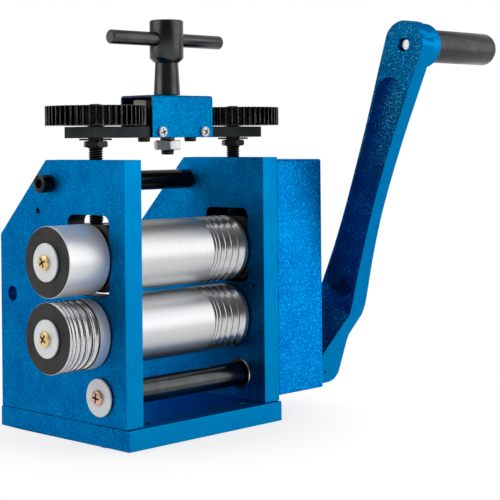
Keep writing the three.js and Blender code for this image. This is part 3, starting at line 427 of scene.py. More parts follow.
thread_black = handled("thread_black", (0.007, 0.007, 0.008), (0.015, 0.015, 0.016), 0.6, 0.35, 120)
nut_steel = handled("nut_steel", (0.42, 0.43, 0.43), (0.58, 0.59, 0.59), 0.9, 0.38, 90)
# A near black finish that paints shade into groove roots and recesses.
painted_recess_shade = handled("painted_recess_shade", (0.02, 0.012, 0.006), (0.04, 0.024, 0.012), 0.2, 0.6, 300)
# A near black finish for painted shade on the walls of the plates' windows.
window_shade = handled("window_shade", (0.012, 0.012, 0.013), (0.02, 0.02, 0.021), 0.5, 0.5)
print("finishes:", len(bpy.data.materials))

# %% [markdown]
# Every finer piece is made where it belongs, rides on the body of the solid that it stands for,
# and hides that solid. These helpers do what a hand would do in edit mode: draw from a single
# point, spin, extrude, bore and round. Sizes and sections are in mm, as on a drawing, and mm()
# turns a place in mm into the metres that Blender works in.

# %% Modelling helpers
SAME_POINT = 0.002 * MM
CORNER_STEPS = 8
UNIT = {"X": Vector((1, 0, 0)), "Y": Vector((0, 1, 0)), "Z": Vector((0, 0, 1))}


def mm(*values):
    return Vector(values) * MM


def box_mm(solid):
    """The lowest and the highest corner of a solid, in mm."""
    low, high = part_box(solid)
    return low / MM, high / MM


def centre_mm(solid):
    low, high = box_mm(solid)
    return (low + high) / 2


def leave_edit_mode():
    if bpy.context.object and bpy.context.object.mode == "EDIT":
        bpy.ops.object.mode_set(mode="OBJECT")
    bpy.ops.object.select_all(action="DESELECT")


def take(piece):
    """Makes a piece the active one and the only one that is selected."""
    leave_edit_mode()
    bpy.context.view_layer.objects.active = piece
    piece.select_set(True)
    return piece


def named(name):
    """The piece that was just added, with its name."""
    piece = bpy.context.object
    piece.name = piece.data.name = name
    return piece


def edit_all():
    bpy.ops.object.mode_set(mode="EDIT")
    bpy.ops.mesh.select_all(action="SELECT")


def modify(piece, kind, **settings):
    """Gives a piece a modifier and applies it."""
    take(piece)
    step = piece.modifiers.new("step", kind)
    for label, value in settings.items():
        setattr(step, label, value)
    bpy.ops.object.modifier_apply(modifier=step.name)


def shade(piece, smooth=30):
    """Smooths the edges that are gentler than the angle."""
    take(piece)
    bpy.ops.object.shade_smooth_by_angle(angle=math.radians(smooth))
    return piece


def draw(name, points):
    """An open line through the points, drawn by extruding a single vertex. Stays in edit mode."""
    leave_edit_mode()
    bpy.ops.mesh.primitive_plane_add(size=MM, location=points[0])
    piece = named(name)
    bpy.ops.object.transform_apply(location=True, rotation=False, scale=False)
    edit_all()
    bpy.ops.mesh.merge(type="CENTER")
    for here, there in zip(points, points[1:]):
        bpy.ops.mesh.extrude_region_move(TRANSFORM_OT_translate={"value": there - here})
    bpy.ops.mesh.select_all(action="SELECT")
    return piece


def close_up(piece, smooth=30):
    """Merges doubles, turns the faces outwards, leaves edit mode and smooths gentle edges."""
    bpy.ops.mesh.select_all(action="SELECT")
    bpy.ops.mesh.remove_doubles(threshold=SAME_POINT)
    bpy.ops.mesh.normals_make_consistent(inside=False)
    return shade(piece, smooth)


def lathe(name, profile, centre, axis="X", steps=96, smooth=30):
    """Spins a section round an axis through the centre. The profile is (radius, along) in mm."""
    across = -UNIT["Y"] if axis == "Z" else UNIT["Z"]
    points = [centre + (across * radius + UNIT[axis] * along) * MM for radius, along in profile]
    piece = draw(name, points)
    bpy.ops.mesh.spin(steps=steps, angle=math.tau, center=centre, axis=UNIT[axis])
    return close_up(piece, smooth)


def ring(name, solid, inner, outer, edge, axis="X", steps=96):
    """A washer or a bush as wide as its solid, with its outer edges broken."""
    low, high = box_mm(solid)
    half = (high - low).dot(UNIT[axis]) / 2
    profile = [
        (inner, -half), (outer - edge, -half), (outer, edge - half), (outer, half - edge),
        (outer - edge, half), (inner, half), (inner, -half),
    ]
    return lathe(name, profile, (low + high) / 2 * MM, axis, steps)


def extruded(name, outline, depth):
    """A solid from a closed outline, pulled along depth."""
    piece = draw(name, [*outline, outline[0]])
    bpy.ops.mesh.remove_doubles(threshold=SAME_POINT)
    bpy.ops.mesh.edge_face_add()
    bpy.ops.mesh.extrude_region_move(TRANSFORM_OT_translate={"value": depth})
    return close_up(piece)


def block(name, low, high, radius=0, axis="X"):
    """A cube at its size and place, with the four edges along one axis rounded."""
    leave_edit_mode()
    bpy.ops.mesh.primitive_cube_add(size=1, location=(low + high) / 2)
    piece = named(name)
    piece.scale = high - low
    bpy.ops.object.transform_apply(location=True, rotation=False, scale=True)
    if radius:
        bpy.ops.object.mode_set(mode="EDIT")
        bpy.ops.mesh.select_all(action="DESELECT")
        shape = bmesh.from_edit_mesh(piece.data)
        for edge in shape.edges:
            run = edge.verts[0].co - edge.verts[1].co
            edge.select_set(abs(run.dot(UNIT[axis])) > 0.9 * run.length)
        bmesh.update_edit_mesh(piece.data)
        bpy.ops.mesh.bevel(offset=radius * MM, segments=CORNER_STEPS, affect="EDGES")
        bpy.ops.object.mode_set(mode="OBJECT")
    return piece


def rod(name, centre, axis, radius, length, sides=48):
    """A plain cylinder, for use as a cutter or as a blank."""
    leave_edit_mode()
    turned = {"X": (0, math.pi / 2, 0), "Y": (math.pi / 2, 0, 0), "Z": (0, 0, 0)}[axis]
    bpy.ops.mesh.primitive_cylinder_add(
        vertices=sides, radius=radius * MM, depth=length * MM, location=centre, rotation=turned
    )
    piece = named(name)
    bpy.ops.object.transform_apply(location=True, rotation=True, scale=False)
    return piece


def carve(piece, *tools, operation="DIFFERENCE"):
    """Cuts away, or joins, each tool in turn, and clears it away."""
    for tool in tools:
        modify(piece, "BOOLEAN", operation=operation, solver="EXACT", object=tool)
        bpy.data.objects.remove(tool)
    return piece


def even_faces(piece):
    """Gives the large faces even normals, so that they look flat beside their broken edges."""
    modify(piece, "WEIGHTED_NORMAL", keep_sharp=True)
    return piece


def round_edges(piece, width, segments=2, limit=30, smooth=30, finish_at=-1):
    """Breaks every edge sharper than the limit, so that it catches the light. The broken edges may
    take the piece's second finish."""
    modify(
        piece, "BEVEL", width=width * MM, segments=segments, limit_method="ANGLE",
        angle_limit=math.radians(limit), material=finish_at,
    )
    return even_faces(shade(piece, smooth))


def turn_about(piece, angle, axis, place):
    """Turns a piece's points, so that the piece itself stays unrotated."""
    take(piece)
    edit_all()
    bpy.ops.transform.rotate(value=angle, orient_axis=axis, center_override=place)
    bpy.ops.object.mode_set(mode="OBJECT")
    return piece


def dress(piece, body, slot, finish, *solids):
    """Lets a piece ride on its body, gives it its finish and hides the solids it stands for. The slot
    is not used.
    """
    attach(piece, body)
    if solids:
        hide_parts(*solids)
    piece.data.materials.clear()
    piece.data.materials.append(finish)
    print(piece.name, "on", body + ",", len(piece.data.polygons), "faces")
    return piece


def repaint(piece, finish, chosen):
    """Gives a second finish to the faces whose middle and normal pass the test, in mm."""
    piece.data.materials.append(finish)
    place = len(piece.data.materials) - 1
    count = 0
    for face in piece.data.polygons:
        if chosen(face.center / MM, face.normal):
            face.material_index = place
            count += 1
    print(piece.name, "faces with", finish.name + ":", count)


print("modelling helpers are ready")

# %% [markdown]
# Base plate. On the real mill it is a thick steel slab, sprayed blue, with four bolt holes for the
# bench and four sunk holes underneath for the screws that hold the side plates. A cube at its
# size, bored with cylinders and with every edge broken by a small bevel, keeps the slab crisp and
# still lets its rim catch the light, which a plain cube would not. Its front and back look smooth,
# so they get the plain blue.

# %% Base plate
BENCH_HOLE = 3.25
BENCH_INSET = 12.3  # from the front and back
BENCH_OUT = 10.3  # from the plates
COUNTERBORE, COUNTERBORE_DEPTH = 6.8, 8.6
PLATE_SCREW = 4.3
PLATE_SCREW_INSET = 22  # from the plates' front and back
THROUGH_BASE = 40
low, high = box_mm("base_plate")
plate_low, plate_high = box_mm("left_side_plate")
plate_x = (plate_low.x + plate_high.x) / 2
bench_places = [
    (side * (abs(plate_high.x) - BENCH_OUT), end * (high.y - BENCH_INSET))
    for side in (-1, 1) for end in (-1, 1)
]
screw_places = [
    (x, y) for x in (plate_x, -plate_x)
    for y in (plate_low.y + PLATE_SCREW_INSET, plate_high.y - PLATE_SCREW_INSET)
]
base = block("painted_base_plate", low * MM, high * MM, 1.5, "Z")
for places, height, radius, length, sides in (
    (bench_places, high.z / 2, BENCH_HOLE, THROUGH_BASE, 32),
    (screw_places, 0, COUNTERBORE, 2 * COUNTERBORE_DEPTH, 40),
    (screw_places, high.z / 2, PLATE_SCREW, THROUGH_BASE, 32),
):
    carve(base, *[rod("bore", mm(x, y, height), "Z", radius, length, sides) for x, y in places])
round_edges(base, 0.8, 3)
dress(base, "frame", "blue_paint", plate_blue, "base_plate")
repaint(base, edge_blue, lambda middle, normal: abs(normal.y) > 0.9)

# %% [markdown]
# Side plates. Each is sawn from thick plate, with a long chamfer at the back, a window that guides
# the bearing blocks and a row of bored holes. Drawing the outline once and extruding it gives
# clean flat faces; the window and the holes are then cut by simple bodies, so that their walls
# stay square. The walls of the window are painted near black, as painted shade inside the window.

# %% Side plates
CHAMFER = 50
THROUGH_MILL = 400
BUSH_BORE, DRIVE_BORE, TIE_BORE, SIDE_BORE, SCREW_BORE = 14.3, 11, 4.3, 4.95, 5.2
OIL_HOLE, OIL_HOLE_PLACE = 2, (23.7, 146)
PIN_HOLE, PIN_HOLE_PLACE = 1.3, (-53.6, 92.2)
SIDE_BORE_PLACE = (52.3, 90.1)
SLIDE_GAP = 0.3
WINDOW_CORNER = 5.5
NEAR_WALL = 0.4
block_low, block_high = box_mm("left_bearing_block")
WINDOW_LOW = Vector((0, block_low.y - SLIDE_GAP, block_low.z - 2.7))
WINDOW_HIGH = Vector((0, block_high.y + SLIDE_GAP, block_high.z + 5.8))


def in_window(place):
    """True inside the window's outline, a little beyond its walls."""
    inside_y = WINDOW_LOW.y - NEAR_WALL < place.y < WINDOW_HIGH.y + NEAR_WALL
    return inside_y and WINDOW_LOW.z - NEAR_WALL < place.z < WINDOW_HIGH.z + NEAR_WALL


def side_plate(side):
    low, high = box_mm(f"{side}_side_plate")
    outline = [
        mm(low.x, low.y, low.z), mm(low.x, high.y, low.z), mm(low.x, high.y, high.z - CHAMFER),
        mm(low.x, high.y - CHAMFER, high.z), mm(low.x, low.y, high.z),
    ]
    plate = extruded(f"painted_{side}_side_plate", outline, mm(high.x - low.x, 0, 0))
    tools = []
    bores = ("lower_bush", BUSH_BORE), ("drive_bush", DRIVE_BORE), ("tie_screw", TIE_BORE)
    for solid, radius in bores:
        centre = centre_mm(f"{side}_{solid}")
        tools.append(rod("bore", mm(plate_x, centre.y, centre.z), "X", radius, THROUGH_MILL, 64))
    tools.append(rod("side_bore", mm(0, *SIDE_BORE_PLACE), "X", SIDE_BORE, THROUGH_MILL, 32))
    if side == "left":
        tools.append(rod("oil_hole", mm(plate_x, *OIL_HOLE_PLACE), "X", OIL_HOLE, 30, 32))
    else:
        tools.append(rod("pin_hole", mm(low.x, *PIN_HOLE_PLACE), "X", PIN_HOLE, 8, 24))
    window_start = mm(low.x - 3, WINDOW_LOW.y, WINDOW_LOW.z)
    window_end = mm(high.x + 3, WINDOW_HIGH.y, WINDOW_HIGH.z)
    tools.append(block("window", window_start, window_end, WINDOW_CORNER))
    screw = centre_mm(f"{side}_pressure_screw")
    above = high.z - WINDOW_HIGH.z
    tools.append(rod("screw_bore", mm(screw.x, screw.y, high.z), "Z", SCREW_BORE, 2 * above + 4))
    carve(plate, *tools)
    round_edges(plate, 0.7, 3)
    dress(plate, "frame", "blue_paint", plate_blue, f"{side}_side_plate")
    inward = 1 if side == "left" else -1
    # The inner faces get the blue with painted shade round the rollers.
    repaint(plate, shaded_blue, lambda place, normal: normal.x * inward > 0.9)
    repaint(plate, edge_blue, lambda place, normal: abs(normal.x) < 0.5 and not in_window(place))
    # The window's walls are painted near black: painted shade inside the window.
    repaint(plate, window_shade, lambda place, normal: abs(normal.x) < 0.8 and in_window(place))


for side in ("left", "right"):
    side_plate(side)

# %% [markdown]
# Tie rod and its screws. A turned rod holds the plates apart at the top, and a socket screw comes
# in from each side. A section spun round the axis gives the rod its chamfers, and the screw head
# is the same, with a hexagon sunk in it. The four screws under the base are made like them.

# %% Tie rod and socket screws
RIM = 0.8
SOCKET = 0.55  # of the head's radius


def turned_bar(name, start, end, radius, centre, *chamfer):
    """A bar whose ends are alike, given by points of (in from the radius, in from the end)."""
    section = [(radius - inset, start + step) for inset, step in chamfer]
    section += [(radius - inset, end - step) for inset, step in reversed(chamfer)]
    return lathe(name, [(0, start), *section, (0, end)], centre)


def turned_screw(name, profile, tip, axis, sign, smooth=30):
    """A screw spun from its section. tip is the middle of its head's outer face, in mm, and sign
    tells which way along the axis the head looks."""
    section = [(radius, sign * along) for radius, along in profile]
    return lathe(name, section, mm(*tip), axis, 48, smooth)


def socket_screw(name, tip, axis, sign, head, shank, finish, *solids):
    """A socket head screw. head is its radius and height, shank is its radius and length."""
    (radius, height), (shank_radius, length) = head, shank
    profile = [
        (0, 0), (radius - RIM, 0), (radius - RIM * 0.3, -RIM * 0.3), (radius, -RIM),
        (radius, 0.25 - height), (radius - 0.25, -height), (shank_radius, -height),
        (shank_radius, -height - length), (0, -height - length),
    ]
    screw = turned_screw(name, profile, tip, axis, sign)
    carve(screw, rod("socket", mm(*tip), axis, radius * SOCKET, height, 6))
    dress(shade(screw), "frame", "black_steel", finish, *solids)


low, high = box_mm("upper_tie_rod")
tie = (low + high) / 2
tie_rod = turned_bar(
    "turned_tie_rod", -high.x, high.x, (high.z - low.z) / 2, mm(0, tie.y, tie.z), (0.4, 0), (0, 0.4)
)
dress(tie_rod, "frame", "black_steel", gloss_black, "upper_tie_rod")
for side, sign in (("left", -1), ("right", 1)):
    solid = f"{side}_tie_screw"
    tip = (sign * max(abs(corner.x) for corner in box_mm(solid)), tie.y, tie.z)
    socket_screw(f"turned_{solid}", tip, "X", sign, (6, 8), (4, 24), gloss_black, solid)
for count, (x, y) in enumerate(screw_places):
    socket_screw(f"base_screw_{count + 1}", (x, y, 0.4), "Z", -1, (6.4, 8), (4, 20), gloss_black)

# %% [markdown]
# Gear cover. It is a folded and welded steel box that hides the gears on the crank side, sprayed
# with a coarser hammered paint. The outline is drawn with round corners as arcs, pulled to its
# depth and then hollowed by a smaller outline from behind, so that the open side shows a wall.

# %% Gear cover
COVER_WALL = 2
COVER_CORNER = 5
FRONT_CORNER = 1.6
CHAMFER_INSET = 2
SHAFT_HOLE = 8.6
cover_low, cover_high = box_mm("gear_cover")
plate_low, plate_high = box_mm("right_side_plate")


def arc_points(x, centre, radius, start, end, steps=CORNER_STEPS):
    """Points of an arc in the plane across X, from one angle to another in degrees."""
    angles = [math.radians(start + (end - start) * step / steps) for step in range(steps + 1)]
    return [
        mm(x, centre[0] + radius * math.cos(angle), centre[1] + radius * math.sin(angle))
        for angle in angles
    ]


def cover_outline(x, inset):
    radius, front_radius = COVER_CORNER - inset, max(0.4, FRONT_CORNER - inset)
    front, back = cover_low.y + inset, cover_high.y - inset
    bottom, top = cover_low.z + inset, cover_high.z - inset
    slope = plate_high.y - CHAMFER + plate_high.z - math.sqrt(2) * (CHAMFER_INSET + inset)
    return [
        *arc_points(x, (back - radius, bottom + radius), radius, -90, 0),
        mm(x, back, slope - back),
        mm(x, slope - top, top),
        *arc_points(x, (front + front_radius, top - front_radius), front_radius, 90, 180),
        *arc_points(x, (front + front_radius, bottom + front_radius), front_radius, 180, 270),
    ]


depth = cover_high.x - cover_low.x
cover = extruded("painted_gear_cover", cover_outline(cover_low.x, 0), mm(depth, 0, 0))
inside = cover_outline(cover_low.x - 1, COVER_WALL)
hollow = extruded("hollow", inside, mm(depth - COVER_WALL + 1, 0, 0))
drive = centre_mm("drive_pinion_shaft")
carve(cover, hollow, rod("shaft_hole", mm(cover_high.x, drive.y, drive.z), "X", SHAFT_HOLE, 20, 64))
round_edges(cover, 0.7, 3)
dress(cover, "frame", "blue_paint", cover_blue, "gear_cover")
for place in ("upper", "lower"):
    solid = f"{place}_cover_screw"
    centre = centre_mm(solid)
    tip = (box_mm(solid)[1].x, centre.y, centre.z)
    socket_screw(f"turned_{solid}", tip, "X", 1, (4.5, 2.6), (2.5, 54), black_oxide_and_shade, solid)

# %% [markdown]
# Bearing blocks. A black block slides in each window, carries a bronze bush and hangs from the
# button of its pressure screw by a slot. A cube with round corners, a bore and two slots is all
# that it takes. The bushes are rings with broken edges. Those of the drive shaft are black with a
# bright rim where they sit in the plate; the rim's zinc finish is a painted highlight on that edge.

# %% Bearing blocks and bushes
NECK_SLOT, BUTTON_SLOT, BUTTON_HEIGHT, LIP = 8.2, 13.6, 2.9, 2.84
BLOCK_BORE, BUSH_INNER, BUSH_OUTER = 14.2, 11.2, 14
DRIVE_BUSH_INNER, DRIVE_BUSH_OUTER, BLACK_TO = 8.2, 10.7, 10.3


def from_axis(place, axis):
    """How far a place is from a line along X, in mm."""
    return math.hypot(place.y - axis.y, place.z - axis.z)


for side in ("left", "right"):
    low, high = box_mm(f"{side}_bearing_block")
    axis = centre_mm(f"{side}_upper_bush")
    under_lip = high.z - LIP
    bearing = block(f"milled_{side}_bearing_block", low * MM, high * MM, WINDOW_CORNER)
    tools = [rod("bush_bore", mm((low.x + high.x) / 2, axis.y, axis.z), "X", BLOCK_BORE, 40, 64)]
    for width, slot_low, slot_high in (
        (NECK_SLOT, under_lip - 1, high.z + 1), (BUTTON_SLOT, under_lip - BUTTON_HEIGHT, under_lip)
    ):
        tools.append(block("slot", mm(low.x - 1, axis.y - width / 2, slot_low),
                           mm(high.x + 1, axis.y + width / 2, slot_high)))
    carve(bearing, *tools)
    round_edges(bearing, 0.4, 2)
    dress(bearing, "upper_blocks", "black_steel", black_oxide_and_shade, f"{side}_bearing_block")
for side in ("left", "right"):
    for row, body in (("lower", "frame"), ("upper", "upper_blocks")):
        solid = f"{side}_{row}_bush"
        bush = ring(f"turned_{solid}", solid, BUSH_INNER, BUSH_OUTER, 0.4)
        dress(bush, body, "bronze", bronze, solid)
    solid = f"{side}_drive_bush"
    axis = centre_mm(solid)
    bush = ring(f"turned_{solid}", solid, DRIVE_BUSH_INNER, DRIVE_BUSH_OUTER, 0.4)
    dress(bush, "frame", "zinc_plate", black_oxide_and_shade, solid)
    # The bright zinc rim is a painted highlight on the bush's edge.
    repaint(bush, zinc, lambda place, normal: from_axis(place, axis) > BLACK_TO)

# %% [markdown]
# Rollers. Each is one bar of steel, turned, hardened, ground and polished: a wide body, thinner
# journals that run in the bushes, and stubs at the ends. Square wire is drawn down in the row of V
# grooves. Spinning the whole section in many steps gives true grooves, with sharp edges where a
# cutter left them, which a bump map could not do along the outline. The grooves are cut after
# grinding, so their sides shine more sharply. Their roots are painted dark, as painted shade in
# the bottom of each groove.

# %% Main rollers
V_GROOVES = (2, 2.6, 4.5, 5, 5.6, 6.2)
LAND = 0.6
ROOT = 0.28
GROOVE_END = 4
ROLLER_HALF = 54
ROLLER_STEPS = 160
JOURNAL = 11
RIGHT_SHOULDER = 69.4
STUB = 8
END_CHAMFER, STUB_CHAMFER = 0.9, 0.6
roller_low, roller_high = box_mm("lower_extension_roller")
ROLLER = (roller_high.z - roller_low.z) / 2


def v_groove_profile():
    place = ROLLER_HALF - GROOVE_END - sum(V_GROOVES) - LAND * (len(V_GROOVES) - 1)
    profile = []
    for width in V_GROOVES:
        root = ROLLER - width / 2 + ROOT
        profile += [(ROLLER, place), (root, place + width / 2 - ROOT)]
        profile += [(root, place + width / 2 + ROOT), (ROLLER, place + width)]
        place += width + LAND
    return profile


def main_roller(row):
    solid = f"{row}_main_roller"
    low, high = box_mm(solid)
    axis = (low + high) / 2
    shoulder = roller_high.x + 0.3
    profile = [
        (0, low.x), (STUB - STUB_CHAMFER, low.x), (STUB, low.x + STUB_CHAMFER), (STUB, shoulder),
        (JOURNAL, shoulder), (JOURNAL, -ROLLER_HALF), (ROLLER - END_CHAMFER, -ROLLER_HALF),
        (ROLLER, END_CHAMFER - ROLLER_HALF), *v_groove_profile(),
        (ROLLER, ROLLER_HALF - END_CHAMFER), (ROLLER - END_CHAMFER, ROLLER_HALF),
        (JOURNAL, ROLLER_HALF), (JOURNAL, RIGHT_SHOULDER), (STUB, RIGHT_SHOULDER),
        (STUB, high.x - STUB_CHAMFER), (STUB - STUB_CHAMFER, high.x), (0, high.x),
    ]
    piece = lathe(f"ground_{solid}", profile, mm(0, axis.y, axis.z), "X", ROLLER_STEPS)

    def groove_side(place, normal):
        return 0.6 < abs(normal.x) < 0.8 and abs(place.x) < ROLLER_HALF - 1

    def groove_root(place, normal):
        within = JOURNAL + 1 < from_axis(place, axis) < ROLLER - 0.5
        return within and abs(normal.x) < 0.1 and abs(place.x) < ROLLER_HALF - 1

    dress(piece, f"{row}_roller", "ground_steel", roller_steel, solid)
    repaint(piece, roller_end, lambda place, normal: abs(normal.x) > 0.95 and abs(place.x) > 53)
    repaint(piece, cut_steel, groove_side)
    # The groove roots are painted dark: painted shade in the bottom of each groove.
    repaint(piece, painted_recess_shade, groove_root)


main_roller("upper")
main_roller("lower")

# %% [markdown]
# Extension rollers. A short roller sits on each stub outside the left plate. The upper one is
# plain and the lower one has half round grooves, which widen towards the plate. Their end faces
# are left black from hardening, inside a thin bright edge.

# %% Extension rollers
HALF_ROUND = (1.6, 1.9, 2.9, 3.3, 4.5, 5.2)
HALF_ROUND_LAND = 0.7
BRIGHT_EDGE = 0.25


def half_round_profile(start):
    place = start + HALF_ROUND_LAND
    profile = []
    for width in HALF_ROUND:
        radius = width / 2
        for step in range(9):
            angle = math.pi * (step / 8 - 0.5)
            along = place + radius * (1 + math.sin(angle))
            profile.append((ROLLER - radius * math.cos(angle), along))
        place += width + HALF_ROUND_LAND
    return profile


for row, grooves in (("upper", []), ("lower", half_round_profile(roller_low.x))):
    solid = f"{row}_extension_roller"
    low, high = box_mm(solid)
    axis = (low + high) / 2
    bore = STUB + 0.2
    profile = [
        (bore, low.x), (ROLLER - BRIGHT_EDGE, low.x), (ROLLER, low.x + BRIGHT_EDGE), *grooves,
        (ROLLER, high.x - BRIGHT_EDGE), (ROLLER - BRIGHT_EDGE, high.x), (bore, high.x), (bore, low.x),
    ]
    piece = lathe(f"ground_{solid}", profile, mm(0, axis.y, axis.z), "X", ROLLER_STEPS)
    dress(piece, f"{row}_roller", "ground_steel", satin_steel, solid)
    if grooves:
        repaint(piece, cut_steel, lambda place, normal: from_axis(place, axis) < ROLLER - 0.05)
    repaint(piece, roller_end, lambda place, normal: abs(normal.x) > 0.95)

# %% [markdown]
# End washers and screws. A plated washer and a cross head screw hold each roller and the drive
# shaft at the left end. The head is a low dome. Its cross is cut with two thin blocks, and each
# screw is turned a little further than the last, as a fitter leaves them.

# %% End washers and cross head screws
END_WASHER_HOLE, END_WASHER = 2.8, 12
END_HEAD, END_HEAD_HEIGHT = 4.75, 2.3
CROWN = 0.35  # the dome's share of a head's height
DOME_STEPS = 8
CROSS_DEPTH = 0.6  # of the head's height


def cross_cutter(tip, axis, radius, depth, turn):
    """Two thin blocks crossed on the screw's axis, turned about it."""
    first = UNIT["X"] if axis == "Y" else UNIT["Y"]
    second = UNIT[axis].cross(first)
    blades = []
    for long, short in ((first, second), (second, first)):
        size = long * radius * 1.3 + short * radius * 0.28 + UNIT[axis] * depth * 2
        half = Vector([abs(part) for part in size]) / 2
        blade = block("blade", (tip - half) * MM, (tip + half) * MM)
        blades.append(turn_about(blade, turn, axis, tip * MM))
    return blades


def cross_screw(name, tip, axis, sign, head, shank, turn, finish, body, slot, solid):
    """A cross head screw. head is its radius and height, shank is its radius and length."""
    (radius, height), (shank_radius, length) = head, shank
    quarter = [step / DOME_STEPS * math.pi / 2 for step in range(DOME_STEPS + 1)]
    profile = [
        *[(radius * math.sin(angle), -CROWN * height * (1 - math.cos(angle))) for angle in quarter],
        (radius, 0.2 - height), (radius - 0.2, -height), (shank_radius, -height),
        (shank_radius, -height - length), (0, -height - length),
    ]
    screw = turned_screw(name, profile, tip, axis, sign, 40)
    depth = height * CROSS_DEPTH
    carve(screw, *cross_cutter(Vector(tip), axis, radius, depth, turn))
    dress(shade(screw, 40), body, slot, finish, solid)
    along = UNIT[axis] * sign

    def in_cross(place, normal):
        inward = Vector(tip) - place
        below = inward.dot(along)
        beside = (inward - along * below).length
        wall = abs(normal.dot(along)) < 0.4 and beside < radius * 0.72 and below < depth
        floor = abs(below - depth) < 0.02 and beside < radius * 0.68
        return wall or floor

    # The cross's walls and floor are painted dark: painted shade in the recess.
    repaint(screw, painted_recess_shade, in_cross)


for count, (name, body, slot, finish) in enumerate((
    ("upper", "upper_roller", "brass", screw_brass), ("lower", "lower_roller", "brass", screw_brass),
    ("drive", "drive", "copper_tone", screw_copper),
)):
    solid = f"{name}_end_washer"
    washer = ring(f"plated_{solid}", solid, END_WASHER_HOLE, END_WASHER, 0.35)
    dress(washer, body, "zinc_plate", washer_white, solid)
    axis = centre_mm(solid)
    tip = (box_mm(solid)[0].x - END_HEAD_HEIGHT, axis.y, axis.z)
    cross_screw(
        f"plated_{name}_end_screw", tip, "X", -1, (END_HEAD, END_HEAD_HEIGHT), (2.5, 11),
        0.45 + 0.5 * count, finish, body, slot, f"{name}_end_screw",
    )

# %% [markdown]
# Drive shaft. It crosses both plates, with a pinion cut on it behind the cover and the crank on
# its right end. The shaft is spun from its section, and the pinion's teeth are a refined copy of
# the solid's own, cut free at both faces, so that they stay in mesh.

# %% Drive shaft and gears behind the cover
DRIVE = 8
PINION_FACES = (86.9, 100.9)


def refined_copy(name, solid):
    """A copy of a solid's mesh, merged and with its flat faces whole again."""
    leave_edit_mode()
    piece = bpy.data.objects.new(name, nodes[solid].data.copy())
    piece.data.name = name
    bpy.context.scene.collection.objects.link(piece)
    take(piece)
    edit_all()
    bpy.ops.mesh.remove_doubles(threshold=SAME_POINT)
    bpy.ops.mesh.dissolve_limited(angle_limit=math.radians(0.5))
    bpy.ops.object.mode_set(mode="OBJECT")
    return piece


def refined(solid, body, finish, edge, edge_highlight=None):
    """A gear with its edges broken. The broken edges may have a lighter finish of their own, a painted
    highlight.
    """
    piece = refined_copy(f"cut_{solid}", solid)
    dress(piece, body, "black_steel", finish, solid)
    if edge_highlight:
        piece.data.materials.append(edge_highlight)
    round_edges(piece, edge, 2, finish_at=1 if edge_highlight else -1)


low, high = box_mm("drive_pinion_shaft")
pivot = centre_mm("drive_end_washer")
shaft_profile = [
    (0, low.x), (DRIVE - 0.5, low.x), (DRIVE, low.x + 0.5), (DRIVE, high.x - 0.8),
    (DRIVE - 0.8, high.x), (0, high.x),
]
drive_shaft = lathe("turned_drive_shaft", shaft_profile, mm(0, pivot.y, pivot.z))
dress(drive_shaft, "drive", "black_steel", shaft_steel)
pinion = refined_copy("cut_drive_pinion", "drive_pinion_shaft")
bpy.ops.object.mode_set(mode="EDIT")
for face, keep_below in zip(PINION_FACES, (False, True)):
    bpy.ops.mesh.select_all(action="SELECT")
    bpy.ops.mesh.bisect(
        plane_co=mm(face, 0, 0), plane_no=(1, 0, 0), use_fill=True,
        clear_outer=keep_below, clear_inner=not keep_below,
    )
round_edges(pinion, 0.2, 2)
dress(pinion, "drive", "black_steel", black_oxide_and_shade, "drive_pinion_shaft")
refined("drive_gear", "lower_roller", black_oxide_and_shade, 0.25)
refined("lower_roller_gear", "lower_roller", black_oxide_and_shade, 0.3)
refined("upper_roller_gear", "upper_roller", black_oxide_and_shade, 0.3)

# %% [markdown]
# Crosshead. A flat bar over the plates carries all the gears that set the gap between the
# rollers. It is plain bar stock with rounded corners, bored for the two screws, the idler bolts
# and the handle, which a cube and five cylinders make at once.

# %% Crosshead bar
SPINDLE_BORE, BOLT_BORE = 5.1, 4.3
low, high = box_mm("crosshead_bar")
bar_low, bar_top, axis_y = low.z, high.z, (low.y + high.y) / 2
bar = block("drawn_crosshead_bar", low * MM, high * MM, 1.6, "Z")
screw_x, bolt_x = centre_mm("left_pressure_screw").x, centre_mm("left_idler_bolt").x
for x, radius in (
    (screw_x, SPINDLE_BORE), (bolt_x, BOLT_BORE), (0, SPINDLE_BORE), (-bolt_x, BOLT_BORE),
    (-screw_x, SPINDLE_BORE),
):
    carve(bar, rod("bore", mm(x, axis_y, high.z), "Z", radius, 40))
round_edges(bar, 0.6, 3)
dress(bar, "crosshead", "dark_steel", charcoal, "crosshead_bar")

# %% [markdown]
# Guard bracket. It is one strip of sheet folded over the gears, held by four small screws with
# round heads. Its section is drawn with true bends inside and outside, which keep the sheet at
# one thickness, and then pulled to its length.

# %% Guard bracket
SHEET = 1.4
BEND = 2.2
INNER_BEND = BEND - SHEET
NECK_HOLE = 6.6
low, high = box_mm("gear_bracket")
bracket_top = high.z
outer = (high.y - low.y) / 2
inner = outer - SHEET
under = high.z - SHEET
section = [
    mm(low.x, axis_y + outer, low.z),
    *arc_points(low.x, (axis_y + outer - BEND, high.z - BEND), BEND, 0, 90, 6),
    *arc_points(low.x, (axis_y + BEND - outer, high.z - BEND), BEND, 90, 180, 6),
    mm(low.x, axis_y - outer, low.z),
    mm(low.x, axis_y - inner, low.z),
    *arc_points(low.x, (axis_y + INNER_BEND - inner, under - INNER_BEND), INNER_BEND, 180, 90, 4),
    *arc_points(low.x, (axis_y + inner - INNER_BEND, under - INNER_BEND), INNER_BEND, 90, 0, 4),
    mm(low.x, axis_y + inner, low.z),
]
bracket = extruded("folded_gear_bracket", section, mm(high.x - low.x, 0, 0))
carve(bracket, rod("neck_hole", mm(0, axis_y, high.z), "Z", NECK_HOLE, 8))
round_edges(bracket, 0.25, 2, 40)
dress(bracket, "crosshead", "blue_paint", bracket_blue, "gear_bracket")
